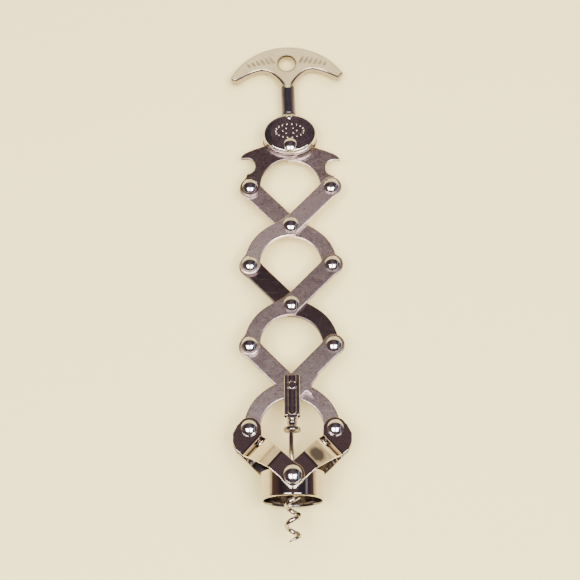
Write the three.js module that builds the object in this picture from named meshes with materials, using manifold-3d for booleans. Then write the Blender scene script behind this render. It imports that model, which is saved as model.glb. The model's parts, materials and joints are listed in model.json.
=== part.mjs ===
// A lazy-tongs corkscrew: a concertina of crossed steel links between a T handle and a bottle-neck collar.
//
// Sizes are millimetres and angles are degrees. The tool is drawn flat, in its own axes: x to the right,
// y from the collar towards the handle and z out of the front links. y = 0 is the collar's rivet axis, and
// z = 0 lies half-way between the front and the back links. At the end the whole tool is laid on its back,
// on two rivets, and moved so that the origin is under the middle of its box.

import * as THREE from 'three';
import Module from 'manifold-3d';
import { mergeVertices } from 'three/addons/utils/BufferGeometryUtils.js';

const wasm = await Module();
wasm.setup();

// ---- driving dimensions ----

const armLength = 30.4; // from a link's middle pivot to either end pivot
const openAngle = 44.3; // between a link and the tool's long axis, as drawn
const linkThickness = 2.0;
const linkWidth = 10.0;
const earRadius = 5.1; // round ends of the links
const windowInset = 5.33; // a window's round top stands this far inside the pivots
const archWidth = 8.1; // width of the arm that curves round a window
const gap = 0.3; // between pieces that touch
const runningGap = 0.25; // between a rivet and its hole
const cells = 3; // crossings between the collar's straps and the button
const capNotchRadius = 4.45; // the top links' notches for crown caps
const capNotchOut = 1.72; // their middles, outwards from the upper outer pivots
const capNotchRise = 11.81; // and above them

const rivetRadius = 1.9;
const domeRadius = 3.95; // front heads of the link rivets
const domeHeight = 2.4;
const backHeadRadius = 3.5;
const backHeadHeight = 1.3;

const strapReach = 34.0; // from the collar's rivet to a strap's ear
const strapThickness = 1.2;
const strapHalfWidth = 5.15;
const strapEarHalfWidth = 6.7;
const strapEarRadius = 5.6;
const strapSkew = 9.36; // a strap's strip leans out this much from the line to its ear
const strapFlat = 10.9; // length of the flat end that lies on the collar
const strapEarLength = 7.6; // from the fold at the ear's foot to the ear's rivet
const strapStep = 3.0; // from the knee to that fold
const strapKneeRise = 4.95; // how far the knee stands over the ear
const strapSlack = 1.6; // extra play of the inner straps on the collar's rivets

const collarRadius = 15.6;
const collarWall = 0.9;
const collarAbove = 4.6; // rim above the rivet
const collarBelow = 9.2; // rim below the rivet
const collarRivetRadius = 1.5;
const collarDomeRadius = 4.4;
const collarDomeHeight = 2.55;
const collarInnerHeadRadius = 2.8;
const collarInnerHeadHeight = 1.1;

const holderHalfWidth = 4.1;
const holderAbove = 5.4; // over the worm's pin
const holderBelow = 13.9; // under the worm's pin, to the bridge
const holderCheek = 1.9;
const holderBridge = 2.3;
const holderBridgeHalfWidth = 2.7;
const wormPinRadius = 1.9;
const ferruleLength = 6.1;
const ferruleRadius = 2.55;
const ferruleFlangeRadius = 4.4;
const wormWireRadius = 1.2;
const wormCoilRadius = 3.1; // to the middle of the wire
const wormPitch = 9.75;
const wormTurns = 3.8;
const wormTipDrop = 77.6; // from the worm's pin to the tip
const wormTipTurn = -30; // where round the axis the tip stands, from the front
const wormHeadRadius = 2.2;

const buttonHalfWidth = 14.0;
const buttonHalfHeight = 11.0;
const buttonRise = 7.4; // the button's centre over the top pivot
const buttonFace = 7.2; // height of the face over z = 0
const buttonWall = 0.9;
const buttonRivetRadius = 1.6;
const buttonDomeRadius = 3.3;
const buttonDomeHeight = 1.9;
const tangRivetRise = 9.0; // over the button's centre
const tangRivetRadius = 1.3;
const tangHeadRadius = 2.0;
const tangHeadThickness = 0.35;

const handleSwing = 1.8; // the handle's lean as drawn
const handleHalfThickness = 2.3;
const handleBevel = 0.9;
const handleTop = 61.3; // the crescent's top over the top pivot
const handleSag = 18.2; // from the crescent's top down to the middles of its round tips
const handleHoleDrop = 10.2; // from the crescent's top down to the middle of the hole
const handleHoleRadius = 4.4;
const handleHalfSpan = 30.6;
const handleTipRadius = 2.2;
const handleDepth = 14.2; // from the crescent's top down to the hollow under a wing
const handleHollowX = 13.5; // how far out that hollow stands
const shankRadius = 3.4;
const shankFootRise = 2.1; // from the button's upper edge to the shank's foot
const shankHeadDrop = 22.8; // from the crescent's top down to the shank's head
const tangHalfWidth = 2.9;
const tangPlay = 0.7; // between the tang and the shells' mouths
const tangBelow = 4.4; // how far the tang runs on under its rivet

const roundSides = 14; // facets round a rivet or a hole
const overcut = 1; // how far a cutter passes the faces that it cuts

// ---- places worked out from them ----

const radians = THREE.MathUtils.degToRad;
const halfSpan = armLength * Math.sin(radians(openAngle));
const halfRise = armLength * Math.cos(radians(openAngle));
const archInnerRadius = halfSpan - windowInset;
const archOuterRadius = archInnerRadius + archWidth;
const strapRise = Math.sqrt(strapReach ** 2 - halfSpan ** 2);
const strapTurn = Math.atan2(halfSpan, strapRise) + radians(strapSkew); // from the tool's long axis
const strapFold = strapReach - strapEarLength;
const strapKnee = strapFold - strapStep;
const frontFace = gap / 2 + linkThickness;
const lowestCrossing = strapRise + halfRise;
const crossings = Array.from({ length: cells }, (_, i) => lowestCrossing + 2 * i * halfRise);
const topPivot = lowestCrossing + 2 * cells * halfRise;
const strapBase = frontFace + gap;
const collarSeat = collarRadius + gap;
const cheekInner = frontFace + gap;
const cheekOuter = cheekInner + holderCheek;
const buttonMouth = frontFace + gap + 0.05;
const tangHalfThickness = buttonMouth - tangPlay;
const tangRivetAt = buttonRise + tangRivetRise;
const shankFoot = buttonRise + buttonHalfHeight + shankFootRise;
const shankHead = handleTop - shankHeadDrop;

// ---- solids ----

function solid(geometry) {
  const bare = geometry.clone();
  bare.deleteAttribute('normal');
  bare.deleteAttribute('uv');
  const merged = mergeVertices(bare, 1e-5);
  return new wasm.Manifold(new wasm.Mesh({
    numProp: 3,
    vertProperties: new Float32Array(merged.attributes.position.array),
    triVerts: new Uint32Array(merged.index.array),
  }));
}

function geometryOf(body) {
  const mesh = body.getMesh();
  const geometry = new THREE.BufferGeometry();
  geometry.setAttribute('position', new THREE.BufferAttribute(mesh.vertProperties, 3));
  geometry.setIndex(new THREE.BufferAttribute(mesh.triVerts, 1));
  return geometry;
}

function joined(bodies) {
  return bodies.reduce((sum, body) => sum.add(body));
}

// A flat outline, raised from one height to another.
function slab(shape, low, high, segments = 8) {
  const geometry = new THREE.ExtrudeGeometry(shape, {
    depth: high - low, bevelEnabled: false, curveSegments: segments,
  });
  return solid(geometry.translate(0, 0, low));
}

function outline(points) {
  return new THREE.Shape(points.map(([x, y]) => new THREE.Vector2(x, y)));
}

function disc(x, y, radius) {
  return new THREE.Shape().absarc(x, y, radius, 0, 2 * Math.PI, false);
}

// A bar of even width between two points, with square ends.
function bar(from, to, width) {
  const [dx, dy] = [to[0] - from[0], to[1] - from[1]];
  const scale = width / 2 / Math.hypot(dx, dy);
  const [nx, ny] = [-dy * scale, dx * scale];
  return outline([
    [from[0] + nx, from[1] + ny], [from[0] - nx, from[1] - ny],
    [to[0] - nx, to[1] - ny], [to[0] + nx, to[1] + ny],
  ]);
}

// A turned piece about a line parallel to z; each profile point is [radius, height].
function turned(profile, x = 0, y = 0, sides = roundSides) {
  const points = profile.map(([radius, height]) => new THREE.Vector2(radius, height));
  const geometry = new THREE.LatheGeometry(points, sides);
  return solid(geometry.rotateX(Math.PI / 2).translate(x, y, 0));
}

// A turned piece about a line parallel to y.
function turnedUp(profile, sides) {
  const points = profile.map(([radius, height]) => new THREE.Vector2(radius, height));
  return solid(new THREE.LatheGeometry(points, sides));
}

// A round hole that is clear of a pin of the given radius, facets and all.
function drill(x, y, pinRadius, low, high, play = runningGap) {
  const radius = (pinRadius + play) / Math.cos(Math.PI / roundSides);
  return turned([[0, low], [radius, low], [radius, high], [0, high]], x, y);
}

// Three rings of a low dome, from its rim to its crown.
function dome(radius, base, height) {
  return [
    [radius, base], [radius * 0.96, base + height * 0.42],
    [radius * 0.72, base + height * 0.8], [0, base + height],
  ];
}

// A domed rivet from its back head to its front dome.
function rivet(x, y, radius, back, front, frontDome, backDome) {
  const under = dome(backDome.radius, back, -backDome.height).reverse();
  const over = dome(frontDome.radius, front, frontDome.height);
  return turned([...under, [radius, back], [radius, front], ...over], x, y);
}

// ---- materials ----

function steel(color, roughness) {
  return new THREE.MeshStandardMaterial({ color, roughness, metalness: 1 });
}

const plate = steel(0x8f8482, 0.42);
const polished = steel(0xc9c3bb, 0.12);
const handleSteel = steel(0xd8cfbb, 0.3);
const darkSteel = steel(0x8a8583, 0.25);

const tool = new THREE.Group();

function place(name, body, material, parent = tool) {
  const mesh = new THREE.Mesh(geometryOf(body), material);
  mesh.name = name;
  parent.add(mesh);
}

// ---- links ----

// side is 1 for a link that climbs to the right, which lies in front, and -1 for its mirror image behind.
function layer(side) {
  return side > 0 ? [gap / 2, frontFace] : [-frontFace, -gap / 2];
}

// An arch between the two radii, from the long axis round to the lower pivot's level.
function archQuarter(side, centreY) {
  const shape = new THREE.Shape();
  const [start, end] = side > 0 ? [Math.PI / 2, Math.PI] : [Math.PI / 2, 0];
  shape.absarc(0, centreY, archOuterRadius, start, end, side < 0);
  shape.absarc(0, centreY, archInnerRadius, end, start, side > 0);
  return shape;
}

// A plate between a layer's faces, joined from flat shapes and cut by others and by a window's arch.
function plateBody(shapes, cuts, windowY, [low, high]) {
  const window = slab(disc(0, windowY, archInnerRadius), low - overcut, high + overcut, 16);
  const cutters = cuts.map((shape) => slab(shape, low - overcut, high + overcut, 12));
  const plain = joined(shapes.map((shape) => slab(shape, low, high)));
  return [window, ...cutters].reduce((left, cutter) => left.subtract(cutter), plain);
}

// A link's pivot holes, each given as [x, y, the radius of its rivet].
function drilled(body, holes, [low, high]) {
  return holes.reduce(
    (left, [x, y, radius]) => left.subtract(drill(x, y, radius, low - overcut, high + overcut)), body,
  );
}

// The straight arm climbs to its upper pivot, and the lower arm follows the arch of the window below.
function link(side, crossing, extras = [], cuts = []) {
  const upper = [side * halfSpan, crossing + halfRise];
  const lower = [-side * halfSpan, crossing - halfRise];
  const tailShare = 0.4; // the straight arm's end is buried in the arch this far past the crossing
  const tail = [-tailShare * upper[0], crossing - tailShare * halfRise];
  const shapes = [
    bar(tail, upper, linkWidth), disc(...upper, earRadius), disc(...lower, earRadius),
    archQuarter(side, lower[1]), ...extras,
  ];
  const middleRadius = crossing === lowestCrossing ? wormPinRadius : rivetRadius;
  const holes = [[...upper, rivetRadius], [...lower, rivetRadius], [0, crossing, middleRadius]];
  return drilled(plateBody(shapes, cuts, lower[1], layer(side)), holes, layer(side));
}

// The lowest front link has a small beak on its inner side, beside the worm's holder.
const beakBody = outline([
  [2.0, 3.0], [9.0, 9.0], [12.4, 5.0], [10.3, 1.4], [9.7, -0.9], [10.9, -5.6], [4.2, -5.9], [0, -4.5],
].map(([x, y]) => [x, y + lowestCrossing]));
const beakNotch = outline([
  [7.1, -2.4], [12.2, -6.6], [8.0, -11.0], [3.4, -6.6],
].map(([x, y]) => [x, y + lowestCrossing]));

const levelNames = ['lower', 'middle', 'upper'];
crossings.forEach((crossing, level) => {
  const [extras, cuts] = level === 0 ? [[beakBody], [beakNotch]] : [[], []];
  place(`${levelNames[level]}_link_front`, link(1, crossing, extras, cuts), plate);
  place(`${levelNames[level]}_link_back`, link(-1, crossing), plate);
});

// A top link joins the top pivot to the highest outer pivot, and carries a hooked notch for crown caps.
function topLink(side) {
  const at = (x, y) => [side * x, topPivot + y]; // from the top pivot
  const by = (x, y) => at(halfSpan + x, y - halfRise); // from the outer pivot
  const outer = by(0, 0);
  const shoulder = outline([
    at(-1, 5.0), at(2.5, 4.6), at(13, 2.0), by(-1.6, 21.4), by(2.4, 19.6), by(4.3, 18.0), by(5.2, 16.2),
    by(0.8, 16.2), by(-1.7, 9.3), by(0, 5.1), outer, at(10, -8),
  ]);
  const shapes = [
    shoulder, archQuarter(-side, outer[1]), disc(0, topPivot, earRadius), disc(...outer, earRadius),
  ];
  const mouthEnd = capNotchOut + 2 * capNotchRadius;
  const mouth = outline([
    by(capNotchOut, capNotchRise + capNotchRadius), by(mouthEnd, capNotchRise + capNotchRadius),
    by(mouthEnd, capNotchRise - capNotchRadius), by(capNotchOut, capNotchRise - capNotchRadius),
  ]);
  const notch = disc(...by(capNotchOut, capNotchRise), capNotchRadius);
  const holes = [[0, topPivot, buttonRivetRadius], [...outer, rivetRadius]];
  return drilled(plateBody(shapes, [notch, mouth], outer[1], layer(-side)), holes, layer(-side));
}

place('top_link_left', topLink(-1), plate);
place('top_link_right', topLink(1), plate);

// ---- link rivets ----

const rivetFront = frontFace + gap;
const linkDome = { radius: domeRadius, height: domeHeight };
const linkBack = { radius: backHeadRadius, height: backHeadHeight };

crossings.slice(1).forEach((crossing, i) => {
  const name = `${levelNames[i + 1]}_crossing_rivet`;
  place(name, rivet(0, crossing, rivetRadius, -rivetFront, rivetFront, linkDome, linkBack), polished);
});

const outerLevels = [...crossings.map((crossing) => crossing - halfRise), topPivot - halfRise];
const outerNames = ['strap', 'lower', 'middle', 'upper'];
outerLevels.forEach((height, level) => {
  const reach = level === 0 ? rivetFront + strapThickness + gap : rivetFront;
  for (const [sideName, side] of [['left', -1], ['right', 1]]) {
    const body = rivet(side * halfSpan, height, rivetRadius, -reach, reach, linkDome, linkBack);
    place(`${outerNames[level]}_rivet_${sideName}`, body, polished);
  }
});

// ---- straps ----

// A bent sheet's side view: its outer face as given, and its inner face one thickness further in.
function sheetSection(face, thickness, facing) {
  const normals = face.slice(1).map(([x, y], i) => {
    const [dx, dy] = [x - face[i][0], y - face[i][1]];
    const length = Math.hypot(dx, dy);
    return [dy / length, -dx / length];
  });
  const inner = face.map(([x, y], i) => {
    const before = normals[Math.max(i - 1, 0)];
    const after = normals[Math.min(i, normals.length - 1)];
    const [mx, my] = [before[0] + after[0], before[1] + after[1]];
    const scale = (2 * thickness) / (mx * mx + my * my);
    return [x + mx * scale, y + my * scale];
  });
  return outline([...face, ...inner.reverse()].map(([x, y]) => [x, facing * y]));
}

// side is -1 for the left straps, which lie outermost on the collar, and facing is 1 in front, -1 behind.
function strap(side, facing) {
  const seat = side < 0 ? collarSeat + strapThickness + gap : collarSeat;
  const crest = seat + strapThickness;
  const earFace = strapBase + strapThickness;
  const bend = 0.8; // half the length of the soft bend at the collar
  const face = [
    [-strapReach, crest], [strapFlat - bend, crest], [strapFlat + bend, crest - 0.7],
    [strapKnee, earFace + strapKneeRise], [strapFold, earFace], [2 * strapReach, earFace],
  ];
  // The side view is drawn along x and raised along z, then turned so that it runs along the strip.
  const section = new THREE.ExtrudeGeometry(sheetSection(face, strapThickness, facing), {
    depth: 2 * strapReach, bevelEnabled: false,
  });
  section.translate(0, 0, -strapReach).rotateX(Math.PI / 2);
  const turn = Math.PI / 2 - side * strapTurn;
  section.rotateZ(turn);
  const along = [Math.cos(turn), Math.sin(turn)];
  const across = [side * along[1], -side * along[0]];
  const at = (s, t) => [s * along[0] - t * across[0], s * along[1] - t * across[1]];
  const half = strapEarHalfWidth;
  const ear = [side * halfSpan, strapRise];
  const strip = outline([
    at(0, -strapHalfWidth), at(strapFlat, -strapHalfWidth), at(strapFold, -half),
    at(strapFold + 4.5, -half), at(strapFold + 8.2, -half + 2.4), at(strapFold + 11.0, -half + 5.6),
    at(strapFold + 12.4, half - 3.4), at(strapFold + 7.0, half - 1.0), at(strapFold + 4.0, half + 3.9),
    at(strapFold, half), at(strapFlat, strapHalfWidth), at(0, strapHalfWidth),
  ]);
  const flats = [strip, disc(0, 0, strapHalfWidth + 0.5), disc(...ear, strapEarRadius)];
  const [low, high] = facing > 0 ? [0, crest + overcut] : [-crest - overcut, 0];
  const plan = joined(flats.map((shape) => slab(shape, low, high)));
  const play = side < 0 ? runningGap : strapSlack;
  return plan.intersect(solid(section))
    .subtract(drill(0, 0, collarRivetRadius, low, high, play))
    .subtract(drill(...ear, rivetRadius, low, high));
}

for (const [sideName, side] of [['left', -1], ['right', 1]]) {
  place(`front_strap_${sideName}`, strap(side, 1), darkSteel);
  place(`back_strap_${sideName}`, strap(side, -1), darkSteel);
}

// ---- collar ----

const bore = collarRadius - collarWall;
const lip = 0.6; // the lower rim is rolled inwards and rounded by this much
const collarBody = turnedUp([
  [bore, 3 * lip - collarBelow], [bore - lip, 2 * lip - collarBelow], [bore - lip / 2, -collarBelow],
  [collarRadius - lip, -collarBelow], [collarRadius, lip - collarBelow],
  [collarRadius, collarAbove], [bore, collarAbove], [bore, 3 * lip - collarBelow],
], 36).subtract(drill(0, 0, collarRivetRadius, -2 * collarRadius, 2 * collarRadius));
place('collar', collarBody, polished);

// Each collar rivet has a flat head inside the bore and a dome outside the straps.
function collarRivet(facing) {
  const headTop = Math.sqrt(bore ** 2 - collarInnerHeadRadius ** 2) - gap;
  const crest = collarSeat + 2 * strapThickness + 2 * gap;
  const profile = [
    [0, headTop - collarInnerHeadHeight], [collarInnerHeadRadius, headTop - collarInnerHeadHeight],
    [collarInnerHeadRadius, headTop], [collarRivetRadius, headTop], [collarRivetRadius, crest],
    ...dome(collarDomeRadius, crest, collarDomeHeight),
  ];
  const points = facing > 0 ? profile : profile.map(([r, h]) => [r, -h]).reverse();
  return turned(points);
}

place('collar_rivet_front', collarRivet(1), polished);
place('collar_rivet_back', collarRivet(-1), polished);

// ---- worm ----

// A clevis over the lowest crossing: two fluted cheeks and a bridge under the links.
function wormHolder() {
  const [left, right] = [-holderHalfWidth, holderHalfWidth];
  const top = lowestCrossing + holderAbove;
  const foot = lowestCrossing - holderBelow;
  const rail = 2.0; // the raised edges of a cheek, on either side of its flute
  const flute = 0.5;
  const profile = (facing) => outline([
    [left, facing * cheekInner], [right, facing * cheekInner], [right, facing * (cheekOuter - 1.0)],
    [right - 0.9, facing * cheekOuter], [right - rail, facing * cheekOuter],
    [right - rail - flute, facing * (cheekOuter - flute)],
    [left + rail + flute, facing * (cheekOuter - flute)],
    [left + rail, facing * cheekOuter], [left + 0.9, facing * cheekOuter],
    [left, facing * (cheekOuter - 1.0)],
  ]);
  // The cheeks' section lies in x and z, and runs down from the top to the bridge's lower face.
  const cheek = (facing) => {
    const geometry = new THREE.ExtrudeGeometry(profile(facing), {
      depth: top - foot + holderBridge, bevelEnabled: false,
    });
    return solid(geometry.rotateX(Math.PI / 2).translate(0, top, 0));
  };
  const bridgePlan = outline([
    [-holderBridgeHalfWidth, foot], [holderBridgeHalfWidth, foot],
    [holderBridgeHalfWidth, foot - holderBridge], [-holderBridgeHalfWidth, foot - holderBridge],
  ]);
  const [wide, deep] = [2 * holderHalfWidth, cheekOuter + overcut];
  const corner = (side) => slab(outline([
    [side * holderBridgeHalfWidth, foot - holderBridge - overcut],
    [side * wide, foot - holderBridge - overcut], [side * wide, foot + 0.4],
    [side * (holderHalfWidth + 0.01), foot + 0.4], [side * holderBridgeHalfWidth, foot - 1.0],
  ]), -deep, deep);
  const shankHole = wormWireRadius + gap;
  const shankWay = turnedUp([
    [0, foot - holderBridge - overcut], [shankHole, foot - holderBridge - overcut],
    [shankHole, foot + overcut], [0, foot + overcut],
  ], roundSides);
  return joined([cheek(1), cheek(-1), slab(bridgePlan, -cheekOuter + 0.6, cheekOuter - 0.6)])
    .subtract(corner(-1))
    .subtract(corner(1))
    .subtract(drill(0, lowestCrossing, wormPinRadius, -deep, deep))
    .subtract(shankWay);
}

place('worm_holder', wormHolder(), darkSteel);

const pinEnd = cheekOuter + 0.15;
place('worm_pin', turned([
  [0, -pinEnd], [wormPinRadius, -pinEnd], [wormPinRadius, pinEnd], [0, pinEnd],
], 0, lowestCrossing), polished);

// The ferrule under the bridge: a short neck that spreads into a thin flange.
const ferruleTop = lowestCrossing - holderBelow - holderBridge - gap;
const ferruleBore = wormWireRadius + gap;
place('worm_ferrule', turnedUp([
  [ferruleBore, ferruleTop - ferruleLength], [ferruleFlangeRadius, ferruleTop - ferruleLength],
  [ferruleFlangeRadius - 0.2, ferruleTop - ferruleLength + 0.7],
  [ferruleRadius + 0.3, ferruleTop - 3.6], [ferruleRadius + 0.2, ferruleTop - 2.7],
  [ferruleRadius, ferruleTop - 2.5], [ferruleRadius, ferruleTop],
  [ferruleBore, ferruleTop], [ferruleBore, ferruleTop - ferruleLength],
], 16), darkSteel);

// The worm is one wire: a head in the clevis, a straight shank and a right-handed coil.
function wormPath() {
  const points = [];
  const tip = lowestCrossing - wormTipDrop;
  const stepsPerTurn = 14;
  const steps = Math.round(wormTurns * stepsPerTurn);
  for (let i = 0; i <= steps; i += 1) {
    const turn = i / stepsPerTurn;
    const angle = radians(wormTipTurn) + 2 * Math.PI * turn;
    const left = (steps - i) / stepsPerTurn; // turns left before the shank
    const radius = wormCoilRadius * Math.min(1, Math.sqrt(left / 0.45));
    points.push(new THREE.Vector3(
      radius * Math.sin(angle), tip + wormPitch * turn, radius * Math.cos(angle),
    ));
  }
  const shankFrom = points[points.length - 1].y;
  const shankTo = lowestCrossing - holderBelow;
  for (const share of [0.25, 0.6, 1]) {
    points.push(new THREE.Vector3(0, shankFrom + share * (shankTo - shankFrom), 0));
  }
  return new THREE.CatmullRomCurve3(points);
}

function worm() {
  const sides = 8;
  const section = outline(Array.from({ length: sides }, (_, i) => {
    const angle = (2 * Math.PI * (i + 0.5)) / sides;
    return [wormWireRadius * Math.cos(angle), wormWireRadius * Math.sin(angle)];
  }));
  const path = wormPath();
  const wire = solid(new THREE.ExtrudeGeometry(section, {
    steps: 66, bevelEnabled: false, extrudePath: path,
  }));
  const seat = lowestCrossing - holderBelow + gap;
  const head = turnedUp([
    [0, seat - 0.9], [wormWireRadius * 0.9, seat - 0.9], [wormWireRadius * 0.9, seat],
    [wormHeadRadius, seat], [wormHeadRadius, seat + 0.9], [0, seat + 1.2],
  ], 12);
  return wire.add(head);
}

place('worm', worm(), darkSteel);

// ---- handle and button ----

// They lean together about the top pivot, so both are drawn in one group that stands on it.
const top = new THREE.Group();
top.position.set(0, topPivot, 0);
top.rotation.z = radians(handleSwing);
tool.add(top);

// A dished oval shell, with its mouth towards the links and a flared lip.
function buttonShell(facing) {
  const [rim, wall, mouth] = [buttonHalfWidth, buttonWall, buttonMouth];
  const section = [
    [0, buttonFace - wall], [rim * 0.66, buttonFace - wall - 0.3], [rim * 0.86, buttonFace - wall - 0.9],
    [rim - wall, buttonFace - 2.6], [rim - wall, mouth], [rim + 0.5, mouth], [rim + 0.45, mouth + 0.7],
    [rim, mouth + 1.2], [rim, buttonFace - 1.7], [rim * 0.93, buttonFace - 0.65],
    [rim * 0.7, buttonFace - 0.2], [0, buttonFace],
  ];
  const points = section.map(([radius, height]) => new THREE.Vector2(radius, facing * height));
  if (facing < 0) points.reverse();
  const geometry = new THREE.LatheGeometry(points, 28).rotateX(Math.PI / 2);
  geometry.scale(1, buttonHalfHeight / buttonHalfWidth, 1).translate(0, buttonRise, 0);
  const shankWay = turnedUp([
    [0, buttonRise], [shankRadius + gap, buttonRise],
    [shankRadius + gap, shankHead], [0, shankHead],
  ], 16);
  const deep = buttonFace + overcut;
  return solid(geometry)
    .subtract(drill(0, 0, buttonRivetRadius, -deep, deep))
    .subtract(drill(0, tangRivetAt, tangRivetRadius, -deep, deep))
    .subtract(shankWay);
}

place('button_front_shell', buttonShell(1), polished, top);
place('button_back_shell', buttonShell(-1), polished, top);

const buttonDome = { radius: buttonDomeRadius, height: buttonDomeHeight };
const faceAt = buttonFace + gap;
const topRivet = rivet(0, 0, buttonRivetRadius, -faceAt, faceAt, buttonDome, buttonDome);
place('top_rivet', topRivet, polished, top);

// The second rivet's heads are thin discs that sit lower, because the shells' faces fall away there.
const tangSeat = faceAt - tangHeadThickness;
place('tang_rivet', turned([
  [0, -faceAt], [tangHeadRadius, -faceAt], [tangHeadRadius, -tangSeat], [tangRivetRadius, -tangSeat],
  [tangRivetRadius, tangSeat], [tangHeadRadius, tangSeat], [tangHeadRadius, faceAt], [0, faceAt],
], 0, tangRivetAt), polished, top);

// The crescent: a round back that runs into two rounded wing tips, and two hollows that run into the neck.
function crescent() {
  const [tipX, tipY] = [handleHalfSpan - handleTipRadius, handleTop - handleSag];
  const drop = handleSag - handleTipRadius;
  const archRadius = (tipX ** 2 + handleSag ** 2 - handleTipRadius ** 2) / (2 * drop);
  const centre = handleTop - archRadius;
  const back = archRadius - handleBevel;
  const tip = handleTipRadius - handleBevel;
  const tipAngle = Math.atan2(tipY - centre, tipX);
  const underTip = Math.PI * 0.38; // where the hollow leaves the tip, past straight down
  const crest = handleTop - handleDepth + handleBevel;
  const neck = [shankRadius - 1.0, shankHead - 2];
  const leave = [tipX - tip * Math.cos(underTip), tipY - tip * Math.sin(underTip)];
  const shape = new THREE.Shape();
  shape.absarc(0, centre, back, tipAngle, Math.PI - tipAngle, false);
  shape.absarc(-tipX, tipY, tip, Math.PI - tipAngle, 2 * Math.PI - underTip, false);
  shape.bezierCurveTo(-tipX + 3.9, tipY + 0.4, -handleHollowX - 5.5, crest, -handleHollowX, crest);
  shape.bezierCurveTo(-handleHollowX + 5.5, crest, -neck[0] - 1.0, crest - 4.5, -neck[0], neck[1]);
  shape.lineTo(...neck);
  shape.bezierCurveTo(neck[0] + 1.0, crest - 4.5, handleHollowX - 5.5, crest, handleHollowX, crest);
  shape.bezierCurveTo(handleHollowX + 5.5, crest, tipX - 3.9, tipY + 0.4, ...leave);
  shape.absarc(tipX, tipY, tip, Math.PI + underTip, 2 * Math.PI + tipAngle, false);
  const geometry = new THREE.ExtrudeGeometry(shape, {
    depth: 2 * (handleHalfThickness - handleBevel), curveSegments: 7,
    bevelThickness: handleBevel, bevelSize: handleBevel, bevelSegments: 1,
  });
  return solid(geometry.translate(0, 0, handleBevel - handleHalfThickness));
}

function handle() {
  const shank = turnedUp([
    [0, shankFoot], [shankRadius, shankFoot], [shankRadius, shankHead],
    [shankRadius * 0.75, shankHead + 2.5], [0, shankHead + 5],
  ], 16);
  const tangPlan = bar([0, tangRivetAt - tangBelow], [0, shankFoot + overcut], 2 * tangHalfWidth);
  const tang = slab(tangPlan, -tangHalfThickness, tangHalfThickness);
  const deep = handleHalfThickness + overcut;
  return joined([crescent(), shank, tang])
    .subtract(slab(disc(0, handleTop - handleHoleDrop, handleHoleRadius), -deep, deep, 16))
    .subtract(drill(0, tangRivetAt, tangRivetRadius, -deep, deep));
}

place('handle', handle(), handleSteel, top);

// ---- the tool lies on its back: on the collar's back rivet and on the top rivet's back dome ----

const collarRest = collarSeat + 2 * strapThickness + 2 * gap + collarDomeHeight;
const topRest = faceAt + buttonDomeHeight;
const lean = Math.atan2(collarRest - topRest, topPivot);
tool.rotation.x = -lean;
tool.updateMatrixWorld(true);

const box = new THREE.Box3().setFromObject(tool, true);
const part = new THREE.Group();
tool.position.set(-(box.min.x + box.max.x) / 2, -(box.min.y + box.max.y) / 2, -box.min.z);
part.add(tool);

export default part;
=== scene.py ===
"""Finished surfaces for a lazy-tongs corkscrew: links, rivets, straps, collar, worm, button and handle."""

import json
import math

import bmesh
import bpy
import numpy as np
from bpy.props import FloatProperty, FloatVectorProperty, PointerProperty
from mathutils import Matrix, Vector
from mathutils.geometry import delaunay_2d_cdt


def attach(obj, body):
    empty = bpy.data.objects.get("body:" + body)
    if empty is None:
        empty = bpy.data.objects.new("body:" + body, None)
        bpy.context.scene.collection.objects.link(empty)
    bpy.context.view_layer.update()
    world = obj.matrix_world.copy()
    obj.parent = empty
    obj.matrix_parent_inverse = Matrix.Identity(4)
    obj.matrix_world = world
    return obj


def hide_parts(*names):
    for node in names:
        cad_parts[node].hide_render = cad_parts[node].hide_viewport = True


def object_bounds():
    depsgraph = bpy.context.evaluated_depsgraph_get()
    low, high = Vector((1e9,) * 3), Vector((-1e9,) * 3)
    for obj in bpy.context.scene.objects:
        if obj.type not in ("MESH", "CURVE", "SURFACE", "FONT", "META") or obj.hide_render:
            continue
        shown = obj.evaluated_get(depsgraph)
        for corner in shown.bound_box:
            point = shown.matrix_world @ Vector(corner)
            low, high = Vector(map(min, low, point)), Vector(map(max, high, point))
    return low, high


bl_info = {
    "name": "Lazy-tongs corkscrew",
    "version": (1, 0, 0),
    "blender": (4, 5, 0),
    "location": "3D View > Sidebar > Corkscrew",
    "description": "Builds the nickel-plated pieces of a folding corkscrew on its packed frame",
    "category": "Object",
}

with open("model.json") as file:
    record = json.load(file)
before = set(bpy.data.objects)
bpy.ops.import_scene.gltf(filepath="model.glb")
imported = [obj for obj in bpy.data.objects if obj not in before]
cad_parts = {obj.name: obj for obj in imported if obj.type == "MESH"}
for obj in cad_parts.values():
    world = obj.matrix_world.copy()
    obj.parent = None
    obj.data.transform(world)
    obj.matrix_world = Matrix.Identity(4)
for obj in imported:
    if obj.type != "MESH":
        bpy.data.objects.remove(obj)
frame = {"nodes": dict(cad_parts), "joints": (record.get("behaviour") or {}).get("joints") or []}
cad_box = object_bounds()

# ---- the tool's own axes in millimetres: x to the right, y from collar to handle, z out of the front ----

MM = 0.001
JOINTS = {joint["name"]: joint for joint in frame["joints"]}
FRONT = Vector(JOINTS["fold"]["axis"]).normalized()
RIGHT = Vector((1, 0, 0))
ALONG = FRONT.cross(RIGHT)
AXES = Matrix((RIGHT, ALONG, FRONT)).transposed().to_4x4()


def laid(origin, turn=0.0):
    """The matrix from millimetres about a point of the tool to the frame's metres."""
    return Matrix.Translation(origin) @ AXES @ Matrix.Rotation(turn, 4, "Z") @ Matrix.Scale(MM, 4)


def pivot(joint):
    return Vector(JOINTS[joint]["pos_m"])


TOOL = laid(pivot("collar_swing"))
TO_TOOL = TOOL.inverted()


def flat_pivot(joint):
    """A joint's place in the tool's plane, in millimetres."""
    return np.array((TO_TOOL @ pivot(joint))[:2])


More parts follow.
